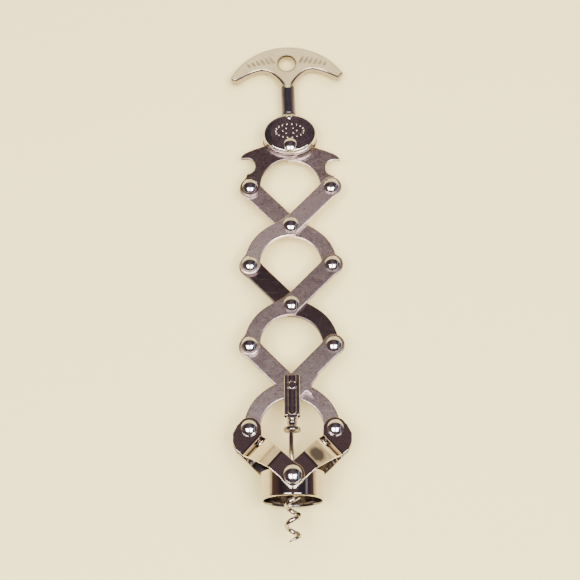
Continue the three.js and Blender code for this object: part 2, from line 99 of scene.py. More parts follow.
def span(node, matrix=TO_TOOL):
    """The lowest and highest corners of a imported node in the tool's axes, in millimetres."""
    corners = np.array([matrix @ vertex.co for vertex in frame["nodes"][node].data.vertices])
    return corners.min(0), corners.max(0)


HALF_SPAN, LOWER_OUTER = flat_pivot("lower_right_turn")
LOWEST = flat_pivot("fold")[1]
HALF_RISE = LOWER_OUTER - LOWEST
CROSSINGS = {"lower": LOWEST, "middle": LOWEST + 2 * HALF_RISE, "upper": LOWEST + 4 * HALF_RISE}
TOP = flat_pivot("top_turn")[1]
STRAP_EAR = flat_pivot("right_ear_turn")
LINK_LOW, LINK_HIGH = (corner[2] for corner in span("middle_link_front"))
HANDLE_LEAN = math.radians(1.8)
HANDLE = laid(pivot("handle_swing"), HANDLE_LEAN)
PIVOT_HOLE = 2.15
LAYER_GAP = 0.3


# ---- sizes and colours that can be changed ----


def length(name, description, millimetres):
    return FloatProperty(name=name, description=description, default=millimetres * MM, unit="LENGTH")


def colour(name, description, value):
    return FloatVectorProperty(
        name=name, description=description, default=value, subtype="COLOR", size=3, min=0, max=1
    )


def share(name, description, value):
    return FloatProperty(name=name, description=description, default=value, subtype="FACTOR", min=0, max=1)


def power(name, description, watts):
    return FloatProperty(name=name, description=description, default=watts, unit="POWER", min=0)


class LinkProperties(bpy.types.PropertyGroup):
    arm_width: length("Arm width", "Width of a link's straight arm", 10.0)
    ear_radius: length("Ear radius", "Radius of a link's round ends", 5.1)
    window_inset: length("Window inset", "How far a window's arch stands inside the pivots", 5.33)
    arch_width: length("Arch width", "Width of the arm that curves round a window", 8.1)
    crook: length("Crook fillet", "Fillet between a link's straight arm and its curved one", 4.0)
    shoulder: length("Shoulder fillet", "Fillet between an ear and its arm", 2.0)
    edge: length("Edge radius", "Rounding of the stamped edges", 0.70)
    bright: colour("Bright nickel", "Colour of the links where the plating is clean", (0.60, 0.485, 0.46))
    dull: colour("Dull nickel", "Colour of the links where the plating is stained", (0.17, 0.115, 0.125))
    roughness: share("Roughness", "Roughness of the links' faces", 0.30)


class RivetProperties(bpy.types.PropertyGroup):
    head_radius: length("Head radius", "Radius of a link rivet's front dome", 3.95)
    head_height: length("Head height", "Height of a link rivet's front dome", 2.4)
    tail_radius: length("Tail radius", "Radius of a link rivet's back dome", 3.5)
    tail_height: length("Tail height", "Height of a link rivet's back dome", 1.3)
    shank: length("Shank radius", "Radius of a link rivet's shank", 1.9)
    collar_radius: length("Collar rivet radius", "Radius of the domes that hold the collar", 4.4)
    collar_height: length("Collar rivet height", "Height of the domes that hold the collar", 2.55)
    top_radius: length("Top rivet radius", "Radius of the domes on the button", 3.3)
    top_height: length("Top rivet height", "Height of the domes on the button", 1.9)
    rim: length("Rim", "Height of the short wall under a dome", 0.95)
    bright: colour("Polished nickel", "Colour of the rivets' heads", (0.80, 0.77, 0.74))
    # foot is painted shade: a dark colour on the foot of each rivet head, where it meets the link or the
    # collar
    foot: colour("Foot", "Colour of the shadowed foot of a rivet's head", (0.20, 0.165, 0.165))
    roughness: share("Roughness", "Roughness of the rivets' heads", 0.12)


class StrapProperties(bpy.types.PropertyGroup):
    thickness: length("Thickness", "Thickness of the sheet", 1.2)
    half_width: length("Half width", "Half the width of a strap's strip", 5.15)
    ear_half_width: length("Ear half width", "Half the width of a strap at its fold", 6.7)
    ear_radius: length("Ear radius", "Radius of a strap's round ear", 5.6)
    edge: length("Edge radius", "Rounding of the sheet's edges", 0.28)
    bright: colour("Bright nickel", "Colour of the straps", (0.62, 0.54, 0.47))
    dull: colour("Dull nickel", "Colour of stains on the straps", (0.46, 0.39, 0.36))
    stain: colour("Stain", "Colour of the dark patch on one front strap", (0.085, 0.075, 0.095))
    stain_radius: length("Stain radius", "Radius of the dark patch", 4.4)
    roughness: share("Roughness", "Roughness of the straps", 0.08)


class CollarProperties(bpy.types.PropertyGroup):
    wall: length("Wall", "Thickness of the collar's wall", 0.9)
    bead: length("Bead", "Radius of the rolled lower rim", 0.6)
    bright: colour("Bright nickel", "Colour of the collar", (0.54, 0.465, 0.41))
    inside: colour("Inside", "Colour of the unpolished bore", (0.27, 0.24, 0.26))
    roughness: share("Roughness", "Roughness of the collar", 0.08)


class WormProperties(bpy.types.PropertyGroup):
    wire: length("Wire radius", "Radius of the worm's wire", 1.2)
    coil: length("Coil radius", "From the worm's axis to the middle of the wire", 3.1)
    pitch: length("Pitch", "Rise of one turn of the worm", 9.75)
    turns: FloatProperty(name="Turns", description="Turns of the worm's coil", default=3.8, min=1)
    bow: length("Shank bow", "How far the worm's shank bows out of line", 1.2)
    flute: length("Flute depth", "Depth of the panel in the holder's cheeks", 0.5)
    bright: colour("Bright nickel", "Colour of the worm and its holder", (0.66, 0.61, 0.57))
    dull: colour("Dull nickel", "Colour of stains on the worm and its holder", (0.42, 0.35, 0.37))
    roughness: share("Roughness", "Roughness of the worm and its holder", 0.10)


class ButtonProperties(bpy.types.PropertyGroup):
    bead: length("Bead radius", "Radius of the small beads on the face", 0.55)
    ring_width: length("Ring width", "Half the width of the beaded oval", 7.4)
    ring_height: length("Ring height", "Half the height of the beaded oval", 3.9)
    bright: colour("Bright nickel", "Colour of the button's shells", (0.78, 0.74, 0.70))
    dull: colour("Dull nickel", "Colour of the marks on the button's face", (0.38, 0.31, 0.32))
    roughness: share("Roughness", "Roughness of the button's shells", 0.08)


class HandleProperties(bpy.types.PropertyGroup):
    thickness: length("Thickness", "Thickness of the crescent", 4.6)
    hole_radius: length("Hole radius", "Radius of the hanging hole", 4.4)
    edge: length("Edge radius", "Rounding of the crescent's edges", 1.35)
    relief: length("Relief height", "How far the raised ornament stands over the face", 0.34)
    # the faces' colours are partly satin nickel and partly a painted reflection of the cream paper: the faces
    # are only partly metallic, so the beige shows as their own colour from every side
    bright: colour("Satin nickel", "Colour of the handle's faces", (0.56, 0.455, 0.25))
    dull: colour("Worn nickel", "Colour of the handle's stains", (0.42, 0.335, 0.19))
    shank: colour("Shank", "Colour of the handle's dark shank", (0.12, 0.10, 0.125))
    steel: colour("Polished steel", "Colour of the handle's rounded edges", (0.40, 0.34, 0.33))
    metal: share("Metal", "How metallic the satin faces look", 0.4)
    roughness: share("Roughness", "Roughness of the handle's faces", 0.42)


class StageProperties(bpy.types.PropertyGroup):
    floor: colour("Floor", "Colour of the paper under the tool", (0.90, 0.76, 0.37))
    surround: colour("Surround", "Colour of the paper near the horizon", (1.0, 0.80, 0.42))
    surround_strength: FloatProperty(
        name="Surround strength", description="Brightness of the paper near the horizon", default=1.7, min=0
    )
    ceiling: colour("Ceiling", "Colour of the dark room overhead", (0.135, 0.090, 0.108))
    key: power("Softboxes", "Power of each softbox", 22)
    fill: power("Fill", "Power of the overhead fill", 72)


# ---- shader graphs ----


class Signal:
    """A socket of a node tree. Arithmetic on it adds Math nodes."""

    def __init__(self, graph, socket):
        self.graph = graph
        self.socket = socket

    def math(self, operation, *values):
        inputs = dict(enumerate(values))
        return self.graph.node("ShaderNodeMath", {"operation": operation}, inputs)

    def at_least(self, low):
        return self.math("MAXIMUM", self, low)

    def __add__(self, other):
        return self.math("ADD", self, other)

    def __sub__(self, other):
        return self.math("SUBTRACT", self, other)

    def __rsub__(self, other):
        return self.math("SUBTRACT", other, self)

    def __mul__(self, other):
        return self.math("MULTIPLY", self, other)

    __radd__ = __add__
    __rmul__ = __mul__


class Graph:
    """The node tree of a material or a world."""

    def __init__(self, tree):
        self.tree = tree
        tree.nodes.clear()

    def node(self, kind, settings=None, inputs=None, output=0):
        made = self.tree.nodes.new(kind)
        for name, value in (settings or {}).items():
            if name == "stops":
                self.fill_ramp(made.color_ramp, value)
            else:
                setattr(made, name, value)
        for name, value in (inputs or {}).items():
            if isinstance(value, Signal):
                self.tree.links.new(value.socket, made.inputs[name])
            else:
                made.inputs[name].default_value = value
        return Signal(self, made.outputs[output]) if made.outputs else made

    @staticmethod
    def fill_ramp(ramp, stops):
        while len(ramp.elements) < len(stops):
            ramp.elements.new(1.0)
        for element, (position, value) in zip(ramp.elements, stops):
            element.position = position
            element.color = rgba(value)

    def ramp(self, value, low, high):
        """0 below low, 1 above high and a straight line between."""
        return self.node(
            "ShaderNodeMapRange", {"clamp": True}, {"Value": value, "From Min": low, "From Max": high}
        )

    def blend(self, factor, first, second):
        """A colour between two."""
        inputs = {0: factor, 6: first, 7: second}
        return self.node("ShaderNodeMix", {"data_type": "RGBA"}, inputs, output=2)

    def noise(self, where, scale, detail=3.0, roughness=0.55):
        inputs = {"Vector": where, "Scale": scale, "Detail": detail, "Roughness": roughness}
        return self.node("ShaderNodeTexNoise", {}, inputs)

    def stretched(self, where, turn, scale):
        """Coordinates turned about the tool's normal and scaled, for marks that run one way."""
        inputs = {"Vector": where, "Rotation": (0, 0, turn), "Scale": scale}
        return self.node("ShaderNodeMapping", {"vector_type": "POINT"}, inputs)

    def rounded_edge(self):
        """How much of a piece's rounded or shaded edge a place lies on."""
        return self.node("ShaderNodeAttribute", {"attribute_name": "edge"}, output="Fac")


def rgba(value, factor=1.0, limit=1.0):
    return (*(min(limit, channel * factor) for channel in value), 1.0)


def shaded(value, factor):
    return [channel * factor for channel in value]


def nickel(
    name, bright, dull, roughness, tarnish=0.3, grain=0.5, brush=None, metal=1.0, wear=0.0, edge_steel_and_shade=None,
    patch=None,
):
    """Nickel plate on steel: stains, fine mottled grain, specks and hairline scratches.

    tarnish is how much of the surface is dull, grain the depth of the fine pitting, brush the direction
    that scratches run, wear how much the rounded edges are rubbed bright, and the edge colour argument the
    colour put where the edge attribute is set: polished steel on the satin handle's rounded edges, painted
    shade at the feet of the rivets' heads, and the collar's bore. patch is a stain's middle, size and colour.
    """
    material = bpy.data.materials.new(name)
    material.use_nodes = True
    graph = Graph(material.node_tree)
    where = graph.node("ShaderNodeTexCoord", output="Object")
    stains = graph.noise(where, 170.0, 4.0, 0.6)
    clouds = graph.noise(where, 520.0, 3.0, 0.6)
    pits = graph.noise(where, 1700.0, 2.5, 0.65)
    specks = graph.ramp(graph.noise(where, 1500.0, 1.0, 0.5), 0.66, 0.74)
    turn = 0.0 if brush is None else brush
    marks = graph.noise(graph.stretched(where, -turn, (90.0, 2300.0, 2300.0)), 1.0, 2.0, 0.6)
    hairs = graph.ramp(marks, 0.60, 0.72)
    dullness = graph.ramp(
        stains * 0.35 + clouds * 0.25 + pits * 0.55, 0.625 - tarnish * 0.25, 0.825 - tarnish * 0.25
    )
    body = graph.blend(dullness, rgba(bright), rgba(dull))
    body = graph.blend(specks * (0.35 * grain + 0.05), body, rgba(bright, 1.45))
    body = graph.blend(hairs * (0.30 if brush is not None else 0.08), body, rgba(bright, 1.25))
    gloss = roughness + (stains - 0.5) * 0.10 + (pits - 0.5) * 0.18 * grain + hairs * 0.05
    if wear:
        rubbed = graph.rounded_edge()
        body = graph.blend(rubbed * wear, body, rgba(bright, 1.5))
        gloss = gloss - rubbed * (roughness * 0.5 * wear)
    if patch:
        middle, size, shade = patch
        ends = {0: where, 1: tuple(middle)}
        away = graph.node("ShaderNodeVectorMath", {"operation": "DISTANCE"}, ends, output="Value")
        clear = graph.ramp(away + (clouds - 0.5) * (size * 0.5), size * 0.72, size * 1.25)
        body = graph.blend(1 - clear, body, rgba(shade))
    if edge_steel_and_shade:
        polish = graph.ramp(graph.rounded_edge(), 0.05, 0.3)
        shade = graph.blend(pits, rgba(edge_steel_and_shade, 0.6), rgba(edge_steel_and_shade, 1.3))
        body = graph.blend(polish, body, shade)
        metal = polish * (1 - metal) + metal
        gloss = gloss - polish * (roughness - 0.16)
    relief = pits * grain + clouds * 0.35 * grain + hairs * 0.2
    depth = {"Strength": 0.10 + 0.35 * grain, "Distance": 0.00001 + 0.00004 * grain}
    bump = graph.node("ShaderNodeBump", {}, {**depth, "Height": relief})
    inputs = {"Base Color": body, "Metallic": metal, "Roughness": gloss, "Normal": bump}
    shader = graph.node("ShaderNodeBsdfPrincipled", {}, inputs)
    graph.node("ShaderNodeOutputMaterial", {}, {"Surface": shader})
    return material


# ---- flat shapes as distances: negative inside, in millimetres ----


def disc(centre, radius):
    return lambda x, y: np.hypot(x - centre[0], y - centre[1]) - radius


def bar(start, end, half_width):
    """A bar with round ends between two points."""
    start, end = np.array(start), np.array(end)
    run = end - start

    def distance(x, y):
        along = ((x - start[0]) * run[0] + (y - start[1]) * run[1]) / (run @ run)
        along = np.clip(along, 0, 1)
        return np.hypot(x - start[0] - along * run[0], y - start[1] - along * run[1]) - half_width

    return distance


def half_plane(point, outward):
    return lambda x, y: (x - point[0]) * outward[0] + (y - point[1]) * outward[1]


def polygon(points):
    points = np.array(points, float)

    def distance(x, y):
        nearest = np.full(np.shape(x), 1e9)
        inside = np.zeros(np.shape(x), bool)
        for (ax, ay), (bx, by) in zip(points, np.roll(points, -1, 0)):
            run = np.array((bx - ax, by - ay))
            along = np.clip(((x - ax) * run[0] + (y - ay) * run[1]) / (run @ run), 0, 1)
            nearest = np.minimum(nearest, np.hypot(x - ax - along * run[0], y - ay - along * run[1]))
            crosses = (ay > y) != (by > y)
            with np.errstate(divide="ignore", invalid="ignore"):
                inside ^= crosses & (x < (bx - ax) * (y - ay) / (by - ay) + ax)
        return np.where(inside, -nearest, nearest)

    return distance


def joined(shapes, fillet=0.0):
    """The union of shapes, with a fillet in the corners between them."""

    def distance(x, y):
        total = shapes[0](x, y)
        for shape in shapes[1:]:
            other = shape(x, y)
            near = np.maximum(fillet - np.abs(total - other), 0) / max(fillet, 1e-9)
            total = np.minimum(total, other) - near * near * fillet / 4
        return total

    return distance


def common(*shapes):
    return lambda x, y: np.maximum.reduce([shape(x, y) for shape in shapes])


def without(shape, *cuts):
    return lambda x, y: np.maximum.reduce([shape(x, y), *(-cut(x, y) for cut in cuts)])


def grown(shape, amount):
    return lambda x, y: shape(x, y) - amount


def contours(shape, low, high, step=0.2):
    """The closed outlines of a flat shape, with its material on their left."""
    xs = np.arange(low[0], high[0] + step, step)
    ys = np.arange(low[1], high[1] + step, step)
    field = shape(*np.meshgrid(xs, ys, indexing="ij"))
    solid = field < 0
    mixed = solid[:-1, :-1].astype(int) + solid[1:, :-1] + solid[1:, 1:] + solid[:-1, 1:]
    following = {}
    for i, j in zip(*np.nonzero((mixed > 0) & (mixed < 4))):
        corners = [solid[i, j], solid[i + 1, j], solid[i + 1, j + 1], solid[i, j + 1]]
        keys = [(i, j, 0), (i + 1, j, 1), (i, j + 1, 0), (i, j, 1)]
        for side in range(4):
            if corners[side] and not corners[(side + 1) % 4]:
                back = 1
                while not corners[(side - back + 1) % 4] or corners[(side - back) % 4]:
                    back += 1
                following[keys[side]] = keys[(side - back) % 4]

    def place(key):
        i, j, upright = key
        first, second = field[i, j], field[i + (1 - upright), j + upright]
        part = step * first / (first - second)
        return xs[i] + part * (1 - upright), ys[j] + part * upright

    loops = []
    while following:
        key, after = following.popitem()
        loop = [key]
        while after in following:
            loop.append(after)
            after = following.pop(after)
        loops.append(np.array([place(key) for key in loop]))
    return loops


def evened(loop, spacing):
    """A closed outline with its points spread evenly."""
    closed = np.vstack([loop, loop[:1]])
    run = np.concatenate([[0], np.cumsum(np.hypot(*np.diff(closed, axis=0).T))])
    count = max(12, round(run[-1] / spacing))
    stations = np.linspace(0, run[-1], count, endpoint=False)
    return np.column_stack([np.interp(stations, run, closed[:, axis]) for axis in (0, 1)])


def circle(centre, radius, spacing=0.4):
    """A hole's round outline, which runs clockwise so that the material is on its left."""
    count = max(16, round(2 * math.pi * radius / spacing))
    angles = -np.linspace(0, 2 * math.pi, count, endpoint=False)
    return np.column_stack([centre[0] + radius * np.cos(angles), centre[1] + radius * np.sin(angles)])


def inward(loop):
    """Unit vectors from an outline's points into its material."""
    ahead = np.roll(loop, -1, 0) - loop
    ahead /= np.linalg.norm(ahead, axis=1)[:, None]
    tangent = ahead + np.roll(ahead, 1, 0)
    tangent /= np.maximum(np.linalg.norm(tangent, axis=1), 1e-9)[:, None]
    return np.column_stack([-tangent[:, 1], tangent[:, 0]])


# ---- solids from outlines and profiles, as points, faces and how much each point lies on a rounded edge ----


def within(outlines, places):
    """Which places lie inside an odd number of outlines."""
    inside = np.zeros(len(places), bool)
    x, y = places[:, :1], places[:, 1:]
    for loop in outlines:
        ax, ay = loop[:, 0], loop[:, 1]
        bx, by = np.roll(ax, -1), np.roll(ay, -1)
        crosses = (ay > y) != (by > y)
        reach = (bx - ax) * (y - ay) / np.where(by == ay, 1e-12, by - ay) + ax
        inside ^= (crosses & (x < reach)).sum(1) % 2 == 1
    return inside


def plate(loops, thickness, radius, place, inner_points=None, steps=4, ledge=0.08, squat=1.0):
    """A plate with rounded edges. place puts (x, y, depth under the front face) where it belongs.

    radius is a number, or a function of an outline's points, and squat flattens the rounding.
    """
    angles = np.linspace(0, math.pi / 2, steps + 1)
    radii = [radius(loop) if callable(radius) else np.full(len(loop), radius) for loop in loops]
    ways = [inward(loop) for loop in loops]
    rows = [(1.0, 0.0, ledge, 0.0)]
    rows += [(1 - math.cos(a), 1 - math.sin(a), 0.0, math.cos(a) ** 2) for a in angles[::-1]]
    rows += [(inset, -depth, extra, edge) for inset, depth, extra, edge in rows[::-1]]
    points, edges = [], []
    for number, (inset, depth, extra, edge) in enumerate(rows):
        for loop, way, size in zip(loops, ways, radii):
            flat = loop + way * (inset * size + extra)[:, None]
            drop = np.minimum(size * squat, thickness * 0.49)
            down = depth * drop if number < len(rows) // 2 else thickness + depth * drop
            points += [(x, y, d) for (x, y), d in zip(flat, down)]
            edges += [edge] * len(loop)
    total, ring, runs = 0, [], []
    for loop in loops:
        ring += [(total + k, total + (k + 1) % len(loop)) for k in range(len(loop))]
        runs.append(slice(total, total + len(loop)))
        total += len(loop)
    faces = []
    for upper in range(0, (len(rows) - 1) * total, total):
        lower = upper + total
        faces += [(upper + a, lower + a, lower + b, upper + b) for a, b in ring]
    filling = [] if inner_points is None else [Vector(p) for p in inner_points]
    for start, depth, flip in ((0, 0.0, False), ((len(rows) - 1) * total, thickness, True)):
        rim = [Vector(p[:2]) for p in points[start : start + total]]
        spots, _, triangles, origins, _, _ = delaunay_2d_cdt(rim + filling, ring, [], 1, 1e-5)
        ids = []
        for spot, origin in zip(spots, origins):
            known = [k for k in origin if k < total]
            if known:
                ids.append(start + known[0])
            else:
                ids.append(len(points))
                points.append((spot[0], spot[1], depth))
                edges.append(0.0)
        flat_rim, flat_spots = np.array(rim), np.array(spots)
        middles = np.array([flat_spots[list(triangle)].mean(0) for triangle in triangles])
        kept = within([flat_rim[run] for run in runs], middles)
        for triangle, keep in zip(triangles, kept):
            if keep:
                faces.append(tuple(ids[k] for k in (triangle[::-1] if flip else triangle)))
    xyz = np.array(points)
    return np.column_stack(place(xyz[:, 0], xyz[:, 1], xyz[:, 2])), faces, edges


def flat_from(height):
    """Puts a plate's front face at a height over the tool's middle plane."""
    return lambda x, y, depth: (x, y, height - depth)


def softened(points, radius, steps=5):
    """A line with its inner corners rounded."""
    points = [np.array(p, float) for p in points]
    out = [points[0]]
    for before, corner, after in zip(points, points[1:], points[2:]):
        room = min(np.linalg.norm(before - corner), np.linalg.norm(after - corner)) * 0.48
        cut = min(radius, room)
        start = corner + (before - corner) / max(np.linalg.norm(before - corner), 1e-9) * cut
        end = corner + (after - corner) / max(np.linalg.norm(after - corner), 1e-9) * cut
        for t in np.linspace(0, 1, steps + 1):
            out.append((1 - t) ** 2 * start + 2 * t * (1 - t) * corner + t * t * end)
    return out + [points[-1]]


def turned(profile, place, sides=96, cap=None):
    """A turned solid; profile holds (radius, height), from axis to axis, or closed on itself off the axis.

    Given cap, what lies nearer the origin's plane than that height counts as the shaded edge.
    """
    rings, points, faces = [], [], []
    for radius, height in profile:
        if radius < 1e-6:
            rings.append([len(points)] * sides)
            points.append((0.0, 0.0, height))
            continue
        rings.append(list(range(len(points), len(points) + sides)))
        for k in range(sides):
            angle = 2 * math.pi * k / sides
            points.append((radius * math.cos(angle), radius * math.sin(angle), height))
    pairs = list(zip(rings, rings[1:]))
    if profile[0][0] > 1e-6:
        pairs.append((rings[-1], rings[0]))
    for lower, upper in pairs:
        for k in range(sides):
            n = (k + 1) % sides
            corners = dict.fromkeys((lower[k], lower[n], upper[n], upper[k]))
            if len(corners) > 2:
                faces.append(tuple(corners))
    xyz = np.array(points)
    edges = [0.0] * len(points) if cap is None else (np.abs(xyz[:, 2]) < cap).astype(float)
    return np.column_stack(place(xyz[:, 0], xyz[:, 1], xyz[:, 2])), faces, edges


def swept(path, radii, sides=24):
    """A round wire along a path, closed by its small ends."""
    path = np.array(path)
    tangents = np.gradient(path, axis=0)
    tangents /= np.linalg.norm(tangents, axis=1)[:, None]
    side = np.cross(tangents[0], (0, 1, 0.3))
    points, faces = [tuple(path[0])], []
    for centre, tangent, radius in zip(path, tangents, radii):
        side = side - tangent * (side @ tangent)
        side /= np.linalg.norm(side)
        other = np.cross(tangent, side)
        for k in range(sides):
            angle = 2 * math.pi * k / sides
            points.append(tuple(centre + radius * (math.cos(angle) * side + math.sin(angle) * other)))
    points.append(tuple(path[-1]))
    for k in range(sides):
        n = (k + 1) % sides
        faces.append((0, 1 + n, 1 + k))
        for row in range(len(path) - 1):
            a = 1 + row * sides
            faces.append((a + k, a + n, a + sides + n, a + sides + k))
        last = 1 + (len(path) - 1) * sides
        faces.append((last + k, last + n, len(points) - 1))
    return np.array(points), faces, [0.0] * len(points)


def together(*solids):
    """Several solids as one."""
    points, faces, edges = [], [], []
    for solid_points, solid_faces, solid_edges in solids:
        start = len(points)
        points += [tuple(p) for p in solid_points]
        faces += [tuple(start + k for k in face) for face in solid_faces]
        edges += list(solid_edges)
    return np.array(points), faces, edges


def upright(x=0.0, y=0.0, z=0.0, facing=1):
    """Places a turned solid with its axis along the tool's normal."""
    return lambda px, py, pz: (px + x, py + y, (pz + z) * facing)


def lengthwise(y=0.0):
    """Places a turned solid with its axis along the tool."""
    return lambda px, py, pz: (py, pz + y, px)


def finished(node, solid, body, material, matrix=TOOL, name=None):
    """Makes a solid into a piece that rides on a body and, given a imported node, stands in for it."""
    points, faces, edges = solid
    mesh = bpy.data.meshes.new(name or f"finished_{node}")
    mesh.from_pydata([matrix @ Vector(p) for p in points], [], faces)
    mesh.attributes.new("edge", "FLOAT", "POINT").data.foreach_set("value", np.array(edges, np.float32))
    shaped = bmesh.new()
    shaped.from_mesh(mesh)
    bmesh.ops.remove_doubles(shaped, verts=shaped.verts, dist=1e-7)
    bmesh.ops.recalc_face_normals(shaped, faces=shaped.faces)
    for face in shaped.faces:
        face.smooth = True
    shaped.to_mesh(mesh)
    shaped.free()
    mesh.materials.append(material)
    piece = bpy.data.objects.new(mesh.name, mesh)
    bpy.context.scene.collection.objects.link(piece)
    smoothing = piece.modifiers.new("even_normals", "WEIGHTED_NORMAL")
    smoothing.weight = 100
    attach(piece, body)
    if node:
        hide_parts(node)
    return piece


def dome_profile(radius, base, height, rim, steps=18):
    """From the foot of a domed head to its crown: a short rolled wall, then a spherical cap."""
    cap = height - rim
    ball = (radius * radius + cap * cap) / (2 * cap)
    turns = np.linspace(math.asin(radius / ball), 0, steps)
    over = [(ball * math.sin(turn), base + height - ball + ball * math.cos(turn)) for turn in turns]
    wall = [(radius - 0.3, base), (radius, base + 0.2), (radius + 0.02, base + rim), over[1]]
    return softened(wall, 0.3, 4)[:-1] + over[1:]


def rivet_profile(front, back, shank):
    """From the crown of the back dome, along the shank, to the crown of the front one."""
    return [(r, -h) for r, h in back[::-1]] + [(shank, -back[0][1]), (shank, front[0][1])] + front


# ---- operators ----


LAYERS = {"front": 1, "back": -1}
# how stained each link is, and how bright against the links' own colours
LINK_TARNISH = {
    "lower_link_front": (0.42, 0.74), "lower_link_back": (0.55, 0.80), "middle_link_front": (0.50, 0.95),
    "middle_link_back": (1.10, 0.40), "upper_link_front": (0.18, 1.55), "upper_link_back": (0.45, 1.30),
    "top_link_left": (0.85, 0.80), "top_link_right": (0.48, 1.30),
}


def link_material(node, looks, run):
    """Each link has stained to a shade of its own."""
    tarnish, light = LINK_TARNISH[node]
    bright = shaded(looks.bright, light)
    dull = shaded(looks.dull, min(1.3, light * 1.35))
    return nickel(
        f"stamped_nickel_{node}", bright, dull, looks.roughness, tarnish=tarnish, grain=1.0,
        brush=run, wear=0.12,
    )


def arch(side, centre_y, inner, outer):
    """The arm round a window on one side of the tool's long axis, down to its lower pivot's level."""
    band = without(disc((0, centre_y), outer), disc((0, centre_y), inner))
    return common(band, half_plane((-side * 0.5, 0), (-side, 0)), half_plane((0, centre_y), (0, -1)))


def outlined(shape, low, high, spacing=0.42):
    return [evened(loop, spacing) for loop in contours(shape, low, high) if len(loop) > 20]


class CORKSCREW_OT_links(bpy.types.Operator):
    """Stamp the six crossed links"""

    bl_idname = "corkscrew.links"
    bl_label = "Links"

    def execute(self, context):
        looks = context.scene.corkscrew_links
        for level, crossing in CROSSINGS.items():
            for layer, side in LAYERS.items():
                self.stamp(looks, level, layer, side, crossing)
        return {"FINISHED"}

    def stamp(self, looks, level, layer, side, crossing):
        node = f"{level}_link_{layer}"
        upper = np.array((side * HALF_SPAN, crossing + HALF_RISE))
        lower = np.array((-side * HALF_SPAN, crossing - HALF_RISE))
        tail = np.array((0, crossing)) - 0.3 * (upper - (0, crossing))
        inner = HALF_SPAN - looks.window_inset / MM
        outer = inner + looks.arch_width / MM
        ear = looks.ear_radius / MM
        arm = joined([
            bar(tail, upper, looks.arm_width / MM / 2), arch(-side, lower[1], inner, outer),
        ], looks.crook / MM)
        shapes = [arm, disc(upper, ear), disc(lower, ear)]
        cuts = [disc((0, lower[1]), inner)]
        if node == "lower_link_front":
            shapes.append(beak(crossing))
            cuts.append(beak_notch(crossing))
        shape = without(joined(shapes, looks.shoulder / MM), *cuts)
        margin = 8
        low = (-HALF_SPAN - margin, lower[1] - margin)
        high = (HALF_SPAN + margin, upper[1] + margin)
        loops = outlined(shape, low, high)
        loops += [circle(at, PIVOT_HOLE) for at in (upper, lower, (0, crossing))]
        face = LINK_HIGH if side > 0 else -LINK_LOW
        solid = plate(loops, LINK_HIGH - LINK_LOW, looks.edge / MM, flat_from(face), squat=0.45)
        run = math.atan2(HALF_RISE, side * HALF_SPAN)
        finished(node, solid, f"{level}_{layer}", link_material(node, looks, run))


def beak(crossing):
    """The small beak on the lowest front link, beside the worm's holder."""
    points = [
        (2.0, 3.0), (9.0, 9.0), (12.4, 5.0), (10.3, 1.4), (9.7, -0.9), (10.9, -5.6), (4.2, -5.9), (0, -4.5),
    ]
    return polygon([(x, y + crossing) for x, y in points])


def beak_notch(crossing):
    points = [(7.1, -2.4), (12.2, -6.6), (8.0, -11.0), (3.4, -6.6)]
    return grown(polygon([(x, y + crossing) for x, y in points]), -0.05)


class CORKSCREW_OT_top_links(bpy.types.Operator):
    """Stamp the two top links with their cap hooks"""

    bl_idname = "corkscrew.top_links"
    bl_label = "Top links"

    def execute(self, context):
        looks = context.scene.corkscrew_links
        for name, side in (("left", -1), ("right", 1)):
            self.stamp(looks, name, side)
        return {"FINISHED"}

    def stamp(self, looks, name, side):
        outer = np.array((side * HALF_SPAN, TOP - HALF_RISE))
        inner = HALF_SPAN - looks.window_inset / MM
        ear = looks.ear_radius / MM

        def from_top(x, y):
            return side * x, TOP + y

        def from_outer(x, y):
            return outer[0] + side * x, outer[1] + y

        shoulder = polygon([
            from_top(-1, 5.0), from_top(2.5, 4.6), from_top(13, 2.0), from_outer(-1.6, 21.4),
            from_outer(2.4, 19.6), from_outer(4.3, 18.0), from_outer(5.2, 16.2), from_outer(0.8, 16.2),
            from_outer(-1.7, 9.3), from_outer(0, 5.1), from_outer(0, 0), from_top(10, -8),
        ])
        notch_x, notch_y, notch_radius = 1.72, 11.81, 4.45
        notch = disc(from_outer(notch_x, notch_y), notch_radius)
        mouth = polygon([
            from_outer(notch_x, 16.2), from_outer(12, 16.2), from_outer(12, 7.4), from_outer(notch_x, 7.4),
        ])
        arm = joined([
            grown(shoulder, 0.05), arch(side, outer[1], inner, inner + looks.arch_width / MM),
            disc((0, TOP), ear), disc(outer, ear),
        ], 1.0)
        shape = without(arm, notch, mouth, disc((0, outer[1]), inner))
        low = (min(0, outer[0]) - 10, outer[1] - 8)
        high = (max(0, outer[0]) + 10, TOP + 8)
        loops = outlined(shape, low, high)
        top_hole = 1.85
        loops += [circle((0, TOP), top_hole), circle(outer, PIVOT_HOLE)]
        face = -LINK_LOW if side > 0 else LINK_HIGH
        node = f"top_link_{name}"
        solid = plate(loops, LINK_HIGH - LINK_LOW, looks.edge / MM, flat_from(face), squat=0.45)
        run = math.atan2(HALF_RISE, -side * HALF_SPAN)
        finished(node, solid, f"top_{name}", link_material(node, looks, run))


RIVETS = {
    "strap_rivet_left": "left_straps", "strap_rivet_right": "lower_back",
    "lower_rivet_left": "lower_back", "lower_rivet_right": "lower_front",
    "middle_rivet_left": "middle_back", "middle_rivet_right": "middle_front",
    "upper_rivet_left": "upper_back", "upper_rivet_right": "upper_front",
    "middle_crossing_rivet": "middle_front", "upper_crossing_rivet": "upper_front",
}


def polished(looks, name="polished_nickel"):
    """Clean bright nickel for the domed rivets, with painted shade at the foot of each head."""
    stained = shaded(looks.bright, 0.55)
    return nickel(
        name, looks.bright, stained, looks.roughness, tarnish=0.25, grain=0.12, edge_steel_and_shade=looks.foot
    )


